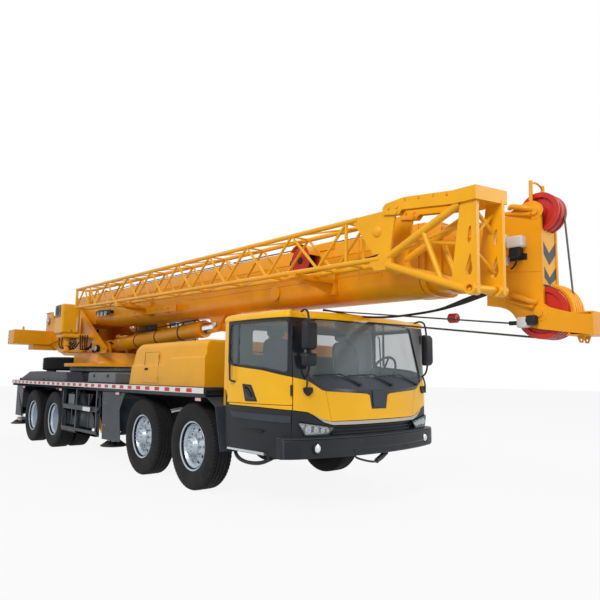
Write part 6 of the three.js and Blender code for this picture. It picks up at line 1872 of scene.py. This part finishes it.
def boom_top_gear():
    """On the boom's back: rope rollers, a hose reel with its guard, cable clips and a short
    end beacon."""
    frames, red, black, steel, hose = [], [], [], [], []
    for x, top in ((-0.12, 0.545), (2.6, 0.60), (6.2, 0.60)):
        frames += [plate([(x - 0.07, 0.44), (x + 0.07, 0.44), (x + 0.035, top), (x - 0.035, top)],
            (y - 0.006, y + 0.006), "y") for y in (-0.17, 0.17)]
        steel.append(turned([(0.001, -0.160), (0.030, -0.160), (0.034, -0.15), (0.030, -0.05),
            (0.030, 0.05), (0.034, 0.15), (0.030, 0.160), (0.001, 0.160)],
                            (x, 0, top - 0.040), "y", 20))
    # reel on the right edge of the boom
    rim = [(0.170, -0.075), (0.178, -0.070), (0.178, -0.062), (0.130, -0.052), (0.130, 0.052),
        (0.178, 0.062), (0.178, 0.070), (0.170, 0.075),
           (0.04, 0.075), (0.04, -0.075)]
    red.append(turned(rim, (8.35, -0.43, 0.285), "y", 40, loop=True))
    hose.append(turned([(0.131, -0.050)]
        + [(0.148 + 0.006 * math.sin(k * math.pi / 2), -0.050 + 0.005 * k) for k in range(21)]
            + [(0.131, 0.050)],
                       (8.35, -0.43, 0.285), "y", 40, loop=True))
    black.append(turned([(0.001, -0.09), (0.040, -0.088), (0.044, -0.08), (0.044, 0.08), (0.040, 0.088),
        (0.001, 0.09)], (8.35, -0.43, 0.285), "y", 20))
    frames.append(plate([(8.22, 0.20), (8.48, 0.20), (8.40, 0.42), (8.30, 0.42)], (-0.349, -0.331),
        "y"))
    guard = np.stack([circle((8.35, 0.285), r, 48) for r in (0.205, 0.212)])
    arc = slice(2, 20)
    outline = np.concatenate([guard[0][arc], guard[1][arc][::-1]])
    frames.append(plate(outline, (-0.53, -0.34), "y"))
    frames.append(slab((8.30, -0.345, 0.40), (8.80, -0.33, 0.50), 0.005))
    black += [turned([(0.055, -0.02), (0.060, -0.015), (0.060, 0.015), (0.055, 0.02), (0.001, 0.02),
        (0.001, -0.02)], (8.05, -0.36, 0.30), "y", 24)]
    frames.append(slab((8.02, -0.34, 0.22), (8.10, -0.328, 0.38), 0.004))
    hose.append(tube(eased([(8.35, -0.43, 0.135), (8.9, -0.44, 0.16), (9.6, -0.42, 0.20),
        (10.05, -0.40, 0.24)], 2), 0.009, 8))
    hose.append(tube([(0.6, 0.345, 0.20), (9.9, 0.345, 0.20)], 0.012, 8))
    hose.append(tube([(0.6, 0.345, 0.16), (9.9, 0.345, 0.16)], 0.012, 8))
    black += [slab((x, 0.329, 0.135), (x + 0.03, 0.362, 0.225), 0.004)
        for x in (1.4, 2.8, 4.2, 5.6, 7.0, 8.4, 9.6)]
    red.append(turned([(0.001, 0), (0.020, 0), (0.026, 0.02), (0.022, 0.05), (0.001, 0.06)],
        (1.55, -0.28, 0.482), "z", 16))
    make("boom_fittings", [(ORANGE, frames), (RED, red), (BLACK, black), (STEEL, steel), (HOSE, hose)],
        "boom_base", place=boom)


def boom_head():
    """Two side plates that hold both sets of sheaves, a striped cross plate, rope guards and a box nose."""
    h = HEAD
    outline = eased([(h + 0.020, 0.400), (h + 0.091, 0.451), (h + 0.200, 0.505), (h + 0.290, 0.530),
        (h + 0.380, 0.520), (h + 0.405, 0.440)], 2)
    lower = eased([(h + 0.412, -0.440), (h + 0.450, -0.475), (h + 0.600, -0.520), (h + 0.680, -0.545),
        (h + 0.830, -0.555)], 2)
    under = eased([(h + 0.830, -0.735), (h + 0.583, -0.700), (h + 0.243, -0.651), (h + 0.161, -0.593),
        (h + 0.110, -0.509), (h + 0.029, -0.455),
                   (h - 0.150, -0.425)], 2)
    shape = np.concatenate([outline, lower, under, [(h - 0.150, -0.240), (h + 0.020, -0.190)]])
    plates, seams, caps, black, pale = [], [], [], [], []
    for s in (-1, 1):
        plates.append(plate(shape, sorted((s * 0.126, s * 0.159)), "y"))
        seams.append(tube([(h + 0.025, s * 0.159, -0.118), (h + 0.404, s * 0.159, -0.140)], 0.006, 8))
        seams.append(tube([(h + 0.025, s * 0.159, 0.39), (h + 0.025, s * 0.159, -0.19)], 0.006, 8))
        for x, z in ((h + 0.352, 0.427), (h + 0.370, -0.519)):
            caps.append(turned([(0.055, s * 0.158), (0.055, s * 0.168), (0.040, s * 0.172),
                (0.040, s * 0.184), (0.001, s * 0.185)], (x, 0, z), "y", 28))
            plates.append(turned([(0.080, s * 0.157), (0.078, s * 0.164), (0.050, s * 0.165),
                (0.050, s * 0.157)], (x, 0, z), "y", 32, loop=True))
        # tubular lugs for the jib's pins, above and below
        for z0, z1 in ((0.500, 0.440), (-0.345, -0.425)):
            plates.append(tube(eased([(h + 0.110, s * 0.165, z0), (h + 0.160, s * 0.215, z0 - 0.005),
                (h + 0.300, s * 0.215, z1 + 0.01),
                                      (h + 0.340, s * 0.165, z1)], 3), 0.026, 14))
            plates.append(tube([(h + 0.060, s * 0.150, z0 - 0.045), (h + 0.330, s * 0.185, z1 - 0.045)],
                0.022, 12))
    # collar where the plates meet the innermost section
    collar = slab((h - 0.030, -0.262, -0.190), (h + 0.024, 0.262, 0.345), 0.004)
    cross = slab((h + 0.372, -0.126, -0.250), (h + 0.392, 0.126, 0.210), 0.002)
    bars = [tube([(h + 0.780, -0.155, -0.645), (h + 0.780, 0.155, -0.645)], 0.032, 20)]
    # striped board: bands that point down, drawn as thin plates on the cross plate
    board = slab((h + 0.392, -0.150, -0.262), (h + 0.399, 0.150, 0.262), 0.001)
    bands = []
    for top in (0.043, -0.187, 0.273):
        low = top - 0.112
        for s in (-1, 1):
            band = np.array([(0.0, low), (s * 0.146, low + 0.128), (s * 0.146, top + 0.128),
                (0.0, top)])
            band[:, 1] = np.clip(band[:, 1], -0.256, 0.256)
            if band[:, 1].max() - band[:, 1].min() > 0.02 and top < 0.2:
                bands.append(plate(band if s > 0 else band[::-1], (h + 0.3985, h + 0.4005), "x"))
    black.append(slab((h + 0.392, -0.152, -0.285), (h + 0.412, 0.152, -0.262), 0.003))
    # ribbed guard over the lower sheaves
    centre = np.array([h + 0.370, -0.519])
    guard = []
    turn = np.linspace(math.radians(72), math.radians(-8), 15)
    for k in range(5):
        y = -0.070 + 0.046 * k
        path = np.column_stack([centre[0] + 0.268 * np.cos(turn), np.full(15, y), centre[1]
            + 0.262 * np.sin(turn)])
        guard.append(tube(path, 0.0155, 10))
    sheet = np.stack([np.column_stack([centre[0] + r * np.cos(turn), centre[1] + r * np.sin(turn)])
        for r in (0.248, 0.256)])
    guard.append(plate(np.concatenate([sheet[0], sheet[1][::-1]]), (-0.086, 0.124), "y"))
    # nose: a box open at the sides, with small lugs under it
    nose = [slab((h + 0.600, -0.145, -0.545), (h + 0.829, 0.145, -0.530), 0.004),
        slab((h + 0.600, -0.145, -0.735), (h + 0.829, 0.145, -0.722), 0.004),
            slab((h + 0.610, -0.150, -0.725), (h + 0.632, 0.150, -0.540), 0.004),
                slab((h + 0.812, -0.150, -0.728), (h + 0.829, 0.150, -0.538), 0.004)]
    nose += [plate([(h + 0.655, -0.735), (h + 0.720, -0.735), (h + 0.700, -0.795), (h + 0.675, -0.795)],
        (y - 0.008, y + 0.008), "y",
                   [circle((h + 0.6875, -0.770), 0.010, 12)]) for y in (-0.06, 0.06)]
    top_guard = [tube([(h + 0.300, -0.118, 0.455), (h + 0.300, -0.118, 0.735)], 0.018, 10),
                 tube(eased([(h + 0.300, -0.118, 0.700), (h + 0.300, -0.05, 0.735),
                     (h + 0.300, 0.05, 0.735), (h + 0.300, 0.118, 0.700)], 2), 0.010, 8),
                 tube([(h + 0.300, 0.118, 0.455), (h + 0.300, 0.118, 0.735)], 0.018, 10)]
    # cable drum box with its lamps on the right plate, and the hoist limit switch low on it
    pale.append(slab((h + 0.110, -0.255, 0.095), (h + 0.265, -0.158, 0.200), 0.010))
    black.append(slab((h + 0.125, -0.245, -0.005), (h + 0.235, -0.158, 0.098), 0.012))
    black.append(tube(eased([(h + 0.20, -0.21, 0.0), (h + 0.18, -0.215, -0.07),
        (h + 0.13, -0.20, -0.10)], 3), 0.010, 8))
    black.append(slab((h + 0.082, -0.170, -0.02), (h + 0.270, -0.158, 0.04), 0.003))
    pale += [slab((h + 0.070, -0.225, z), (h + 0.100, -0.165, z + 0.085), 0.008)
        for z in (0.150, -0.060)]
    pale.append(slab((h + 0.190, -0.245, -0.655), (h + 0.285, -0.158, -0.560), 0.008))
    black.append(turned([(0.001, -0.05), (0.042, -0.048), (0.046, -0.04), (0.046, 0.03), (0.040, 0.04),
        (0.001, 0.042)], (h + 0.320, -0.200, -0.590), "x", 24))
    black.append(turned([(0.001, -0.05), (0.020, -0.048), (0.020, 0.03), (0.001, 0.032)],
        (h + 0.150, -0.200, -0.610), "x", 18))
    innermost = section_tube(4, 0.31, HEAD - 0.028)
    make("boom_head_finished", [(ORANGE,
        [innermost, collar, *plates, *seams, cross, *bars, *guard, *nose, *top_guard, *caps]),
                                (YELLOW, board), (SLATE, bands), (BLACK, black), (WHITE, pale)],
         "boom_head", replaces=["boom_head"], place=boom, smooth=28)


def sheave(node, x, z, radius, grooves, half):
    """Grooved rope wheels side by side on one bush, each with a dished web."""
    parts = []
    pitch = 2 * half / grooves
    for k in range(grooves):
        y = -half + pitch * (k + 0.5)
        w = pitch * 0.5 - 0.002
        profile = [(radius, y - w), (radius, y - w * 0.55), (radius - 0.026, y - w * 0.22),
            (radius - 0.026, y + w * 0.22), (radius, y + w * 0.55),
                   (radius, y + w), (radius - 0.045, y + w), (radius - 0.052, y + w * 0.30),
                   (0.075, y + w * 0.35), (0.070, y + w),
                   (0.041, y + w), (0.041, y - w), (0.070, y - w), (0.075, y - w * 0.35),
                   (radius - 0.052, y - w * 0.30), (radius - 0.045, y - w)]
        parts.append(turned(profile, (x, 0, z), "y", 64, loop=True))
    make(node + "_finished", [(RED, parts)], node, replaces=[node], place=boom, smooth=30)


# ------------------------------------------------------------------ stowed jib
OUTER, INNER = -0.985, -0.720


def jib_low(x):
    return 0.075 - (x - 1.70) * 0.065 / 8.35


def jib_high(x):
    return 0.455


def jib():
    """Two flat trusses tied together: chords, zigzag lacing, gussets, and a tapering foot with
    plates and slots."""
    parts = []
    tops = 2.47 + 0.897 * np.arange(9)
    lows = 2.83 + 0.91 * np.arange(8)
    for y in (OUTER, INNER):
        parts.append(tube([(1.76, y, jib_low(1.76)), (10.10, y, jib_low(10.10))], 0.027, 14))
        parts.append(tube([(1.76, y, jib_high(1.76)), (9.80, y, jib_high(9.80))], 0.027, 14))
        for a, b in zip(tops[:-1], lows):
            parts.append(tube([(a, y, jib_high(a)), (b, y, jib_low(b))], 0.0165, 8))
        for a, b in zip(lows, tops[1:]):
            parts.append(tube([(a, y, jib_low(a)), (b, y, jib_high(b))], 0.0165, 8))
        parts.append(tube([(1.78, y, jib_high(1.78)), (1.78, y, jib_low(1.78))], 0.026, 10))
        parts.append(tube([(1.80, y, jib_low(1.8)), (2.20, y, jib_high(2.2))], 0.0165, 8))
        parts.append(tube([(2.20, y, jib_high(2.2)), (2.47, y, jib_low(2.47))], 0.0165, 8))
        parts.append(tube([(9.64, y, jib_high(9.64)), (9.64, y, jib_low(9.64))], 0.018, 8))
        # gusset with its boss, and the small plate at its foot
        gusset = [(9.72, 0.475), (10.31, 0.475), (10.24, 0.06), (10.03, 0.06)]
        s = -1 if y == OUTER else 1
        parts.append(plate(gusset, (y - 0.012, y + 0.012), "y"))
        parts.append(turned([(0.060, s * 0.010), (0.056, s * 0.020), (0.035, s * 0.034),
            (0.001, s * 0.038)], (10.08, y, 0.285), "y", 28))
        parts.append(plate([(9.98, -0.02), (10.16, 0.085), (10.26, 0.055), (10.26, -0.105),
            (10.05, -0.105)], (y - 0.018, y + 0.018), "y"))
        # fork and the holed beam that runs to the foot's top
        parts.append(plate([(10.17, 0.43), (10.36, 0.40), (10.40, 0.44), (10.99, 0.375), (10.99, 0.495),
            (10.42, 0.555), (10.20, 0.535), (10.16, 0.50)],
                           (y - 0.034, y - 0.022), "y", [circle((x, 0.545 - (x - 10.2) * 0.10), 0.016,
                           14)[::-1] for x in (10.44, 10.60, 10.76, 10.90)]))
        parts.append(plate([(10.17, 0.43), (10.36, 0.40), (10.40, 0.44), (10.99, 0.375), (10.99, 0.495),
            (10.42, 0.555), (10.20, 0.535), (10.16, 0.50)],
                           (y + 0.022, y + 0.034), "y", [circle((x, 0.545 - (x - 10.2) * 0.10), 0.016,
                           14)[::-1] for x in (10.44, 10.60, 10.76, 10.90)]))
        parts.append(slab((10.40, y - 0.030, 0.470), (10.98, y + 0.030, 0.482), 0.002))
        parts += [tube([(x, y - 0.045, z), (x, y + 0.045, z)], 0.014, 10) for x,
            z in ((10.24, 0.485), (10.34, 0.475), (10.34, 0.43))]
        # the foot's tubes
        parts.append(tube([(10.22, y, 0.020), (11.01, y, 0.375)], 0.036, 16))
        parts.append(tube([(10.62, y, 0.200), (10.82, y, -0.285)], 0.025, 12))
        # tapering foot plate with two slots; the inner one stands further forward
        d = 0.0 if y == OUTER else 0.085
        foot = np.array([(11.030, 0.42), (11.178, 0.42), (11.178, -0.415), (10.925, -0.325)]) + [d, 0]
        upper = np.array([(11.128, 0.16), (11.128, 0.02), (11.085, 0.01), (11.105, 0.15)]) + [d, 0]
        lower = np.array([(11.118, -0.075), (11.140, -0.260), (11.045, -0.255)]) + [d, 0]
        parts.append(plate(foot, (y - 0.022, y + 0.022), "y",
            [eased(np.vstack([upper, upper[:1]]), 1)[:-1],
                eased(np.vstack([lower, lower[:1]]), 1)[:-1]]))
        parts.append(turned([(0.052, y - 0.060), (0.052, y + 0.060), (0.030, y + 0.060),
            (0.030, y - 0.060)], (11.125 + d, 0, -0.375), "y", 24,
                            loop=True))
        parts.append(tube([(10.20, y, -0.065), (11.120 + d, y, -0.395)], 0.038, 16))
    for k, a in enumerate(tops):
        parts.append(tube([(a, OUTER, jib_high(a)), (a, INNER, jib_high(a))], 0.013, 8))
        if k < len(tops) - 1:
            parts.append(tube([(a, OUTER, jib_high(a)), (tops[k + 1], INNER, jib_high(tops[k + 1]))],
                0.011, 8))
    for k, a in enumerate(lows):
        parts.append(tube([(a, OUTER, jib_low(a)), (a, INNER, jib_low(a))], 0.013, 8))
        if k < len(lows) - 1:
            parts.append(tube([(a, INNER, jib_low(a)), (lows[k + 1], OUTER, jib_low(lows[k + 1]))],
                0.011, 8))
    parts += [tube([(x, OUTER, z), (x, INNER, z)], r, 10) for x, z, r in
              ((1.78, 0.455, 0.024), (1.78, 0.074, 0.024), (9.64, 0.455, 0.016), (9.64, 0.013, 0.016),
              (10.20, -0.065, 0.022))]
    parts.append(tube([(11.125, OUTER, -0.375), (11.210, INNER, -0.375)], 0.036, 12))
    parts.append(rings(np.array([[(10.975, -1.030, z), (11.190, -1.030, z), (11.275, -0.675, z),
        (10.975, -0.675, z)] for z in (0.375, 0.495)])))
    parts.append(tube([(11.10, OUTER, 0.37), (11.17, INNER, 0.12)], 0.020, 10))
    parts.append(tube([(11.10, OUTER, 0.05), (11.17, INNER, 0.30)], 0.020, 10))
    parts.append(tube([(11.10, OUTER, 0.00), (11.17, INNER, -0.22)], 0.018, 10))
    parts.append(tube([(10.22, OUTER, 0.02), (10.85, INNER, 0.28)], 0.015, 8))
    parts.append(tube([(10.46, OUTER, 0.13), (10.99, INNER, 0.06)], 0.015, 8))
    make("jib_finished", [(YELLOW, parts)], "boom_base", replaces=["jib"], place=boom,
        smooth=35)


# ------------------------------------------------------------------ ropes and hook block
def from_axle(x, y, z):
    """A place given from the first axle, in the boom's frame."""
    u, w = x - HINGE[0], z - HINGE[2]
    return (u * math.cos(TILT) - w * math.sin(TILT), y, u * math.sin(TILT) + w * math.cos(TILT))


def hoist_ropes():
    """Falls from the lower sheaves back to the stowed block, the switch weight on them, and the
    rope over the nose."""
    anchor = np.array(from_axle(0.42, 0, 2.300))
    black, ropes, red = [], [], []
    for y in (-0.078, -0.026, 0.026, 0.078):
        end = np.array([HEAD + 0.255, y, -0.735])
        start = anchor + [0, y * 0.6, 0.0]
        ropes.append(tube(np.linspace(start, end, 6), 0.0095, 8))
    cable = eased([np.array(from_axle(1.20, -0.09, 2.315)), (9.2, -0.10, -0.475),
        (10.10, -0.13, -0.445), (10.45, -0.16, -0.375), (10.74, -0.16, -0.300)], 3)
    black.append(tube(cable, np.interp(np.linspace(0, 1, len(cable)), [0, 0.55, 0.75, 1],
        [0.010, 0.014, 0.030, 0.030]), 10))
    ropes.append(tube([np.array(from_axle(1.20, -0.10, 2.300)), (HEAD + 0.115, -0.200, -0.610)], 0.008,
        8))
    weight = np.array([10.34, -0.105, -0.520])
    red.append(turned([(0.012, -0.052), (0.044, -0.048), (0.050, -0.040), (0.050, 0.040),
        (0.044, 0.048), (0.012, 0.052)], weight, "x", 28, loop=True))
    front = HEAD + 0.352 + 0.178
    ropes.append(tube(np.linspace((front, 0.043, 0.427), (HEAD + 0.600, 0.043, -0.530), 5), 0.0095, 8))
    turn = np.linspace(math.radians(4), math.radians(115), 16)
    over = np.column_stack([HEAD + 0.352 + 0.178 * np.cos(turn), np.full(16, 0.043),
        0.427 + 0.178 * np.sin(turn)])
    ropes.append(tube(over, 0.0095, 8))
    make("hoist_ropes", [(ROPE, ropes), (HOSE, black), (RED, red)], "boom_head",
        place=boom)
    back = []
    for y in (-0.043, 0.043):
        back.append(tube([(-0.130, y * 2, 0.544), (2.6, y, 0.600), (6.2, y, 0.598), (9.95, y, 0.560)],
            0.0095, 8))
    make("boom_top_ropes", [(ROPE, back)], "boom_base", place=boom)


def hook_block():
    """Sheaves between two cheek plates with pin caps, a trunnion and a forged hook, standing in its cradle.
    """
    x, z = 0.285, 1.950
    cheeks, red, black, steel = [], [], [], []
    for s in (-1, 1):
        outline = eased([(-0.10, 1.56), (-0.225, 1.90), (-0.20, 2.10), (0, 2.182), (0.20, 2.10),
            (0.225, 1.90), (0.10, 1.56)], 2)
        cheeks.append(plate(outline, sorted((x + s * 0.078, x + s * 0.094)), "x"))
        steel.append(turned([(0.055, s * 0.094), (0.052, s * 0.104), (0.030, s * 0.108),
            (0.001, s * 0.108)], (x, 0, z), "x", 24))
    for k in range(3):
        xk = x + 0.048 * (k - 1)
        w = 0.021
        profile = [(0.205, xk - w), (0.205, xk - w * 0.5), (0.180, xk), (0.205, xk + w * 0.5),
            (0.205, xk + w), (0.16, xk + w), (0.15, xk + 0.006),
                   (0.05, xk + 0.006), (0.05, xk - 0.006), (0.15, xk - 0.006), (0.16, xk - w)]
        red.append(turned([(r, h - x) for r, h in profile], (x, 0, z), "x", 48, loop=True))
    black.append(slab((x - 0.060, -0.118, 1.545), (x + 0.060, 0.118, 1.640), 0.012))
    steel.append(turned([(0.001, 1.43), (0.045, 1.44), (0.052, 1.47), (0.052, 1.545), (0.001, 1.545)],
        (x, 0, 0), "z", 24))
    curl = np.linspace(math.radians(92), math.radians(-190), 26)
    path = np.column_stack([np.full(26, x), 0.060 * np.cos(curl), 1.395 + 0.060 * np.sin(curl)])
    black.append(tube(path, np.interp(np.linspace(0, 1, 26), [0, 0.5, 1], [0.024, 0.030, 0.010]), 12))
    cradle = [slab((x - 0.100, -0.150, 1.3015), (x + 0.100, 0.150, 1.318), 0.005)]
    cradle += [plate([(-0.148, 1.316), (-0.060, 1.316), (-0.075, 1.43), (-0.120, 1.46)],
        sorted((x + s * 0.085, x + s * 0.097)), "x") for s in (-1, 1)]
    cradle += [flipped(part) for part in cradle[1:3]]
    make("hook_block_finished", [(YELLOW, cheeks), (RED, red), (BLACK, [*black, *cradle]),
        (STEEL, steel)], "carrier",
         replaces=["hook_block"])


boom_tubes()
boom_base()
boom_top_gear()
boom_head()
sheave("sheaves_upper", HEAD + 0.352, 0.427, 0.190, 2, 0.085)
sheave("sheaves_lower", HEAD + 0.370, -0.519, 0.240, 4, 0.1245)
jib()
hoist_ropes()
hook_block()


# ------------------------------------------------------------------ floor, light and background
def stage():
    """A pale floor and white surroundings for the eye, with soft lamps for the object."""
    def split(tree, plain, seen):
        """Mixes a plain surface with a white one for rays from the camera, reflections and glass."""
        path = tree.nodes.new("ShaderNodeLightPath")
        either = path.outputs["Is Camera Ray"]
        for other in ("Is Glossy Ray", "Is Transmission Ray"):
            most = tree.nodes.new("ShaderNodeMath")
            most.operation = "MAXIMUM"
            tree.links.new(either, most.inputs[0])
            tree.links.new(path.outputs[other], most.inputs[1])
            either = most.outputs["Value"]
        mixed = tree.nodes.new("ShaderNodeMixShader")
        tree.links.new(either, mixed.inputs["Fac"])
        tree.links.new(plain.outputs[0], mixed.inputs[1])
        tree.links.new(seen.outputs[0], mixed.inputs[2])
        return mixed

    world = bpy.data.worlds.new("surroundings")
    bpy.context.scene.world = world
    world.use_nodes = True
    tree = world.node_tree
    plain = tree.nodes["Background"]
    plain.inputs["Color"].default_value = (0.93, 0.96, 1.0, 1)
    plain.inputs["Strength"].default_value = 0.46
    seen = tree.nodes.new("ShaderNodeBackground")
    seen.inputs["Color"].default_value = (1, 1, 1, 1)
    mixed = split(tree, plain, seen)
    tree.links.new(mixed.outputs["Shader"], tree.nodes["World Output"].inputs["Surface"])

    material = bpy.data.materials.new("floor_white")
    material.use_nodes = True
    tree = material.node_tree
    shader = tree.nodes["Principled BSDF"]
    shader.inputs["Base Color"].default_value = (0.55, 0.55, 0.55, 1)
    shader.inputs["Roughness"].default_value = 0.9
    glow = tree.nodes.new("ShaderNodeEmission")
    glow.inputs["Color"].default_value = (1, 1, 1, 1)
    both = tree.nodes.new("ShaderNodeMixShader")
    both.inputs["Fac"].default_value = 0.90
    tree.links.new(shader.outputs["BSDF"], both.inputs[1])
    tree.links.new(glow.outputs["Emission"], both.inputs[2])
    mixed = split(tree, shader, both)
    tree.links.new(mixed.outputs["Shader"], tree.nodes["Material Output"].inputs["Surface"])
    mesh = bpy.data.meshes.new("floor")
    reach = 60.0
    mesh.from_pydata([(-reach, -reach, 0), (reach, -reach, 0), (reach, reach, 0), (-reach, reach, 0)],
        [], [(0, 1, 2, 3)])
    mesh.materials.append(material)
    floor = bpy.data.objects.new("floor", mesh)
    bpy.context.scene.collection.objects.link(floor)

    def lamp(name, place, aim, size, power, colour):
        data = bpy.data.lights.new(name, "AREA")
        data.shape = "DISK"
        data.size = size
        data.energy = power
        data.color = colour
        obj = bpy.data.objects.new(name, data)
        obj.location = place
        obj.rotation_euler = (Vector(aim) - Vector(place)).to_track_quat("-Z", "Y").to_euler()
        bpy.context.scene.collection.objects.link(obj)

    lamp("key", (9, -13, 12), (0, 0, 1.5), 7, 1750, (1.0, 0.98, 0.95))
    lamp("fill", (14, 6, 6), (2, 0, 1.5), 8, 650, (0.95, 0.97, 1.0))
    lamp("back", (-12, 10, 10), (-2, 0, 1.5), 8, 560, (1.0, 1.0, 1.0))


stage()
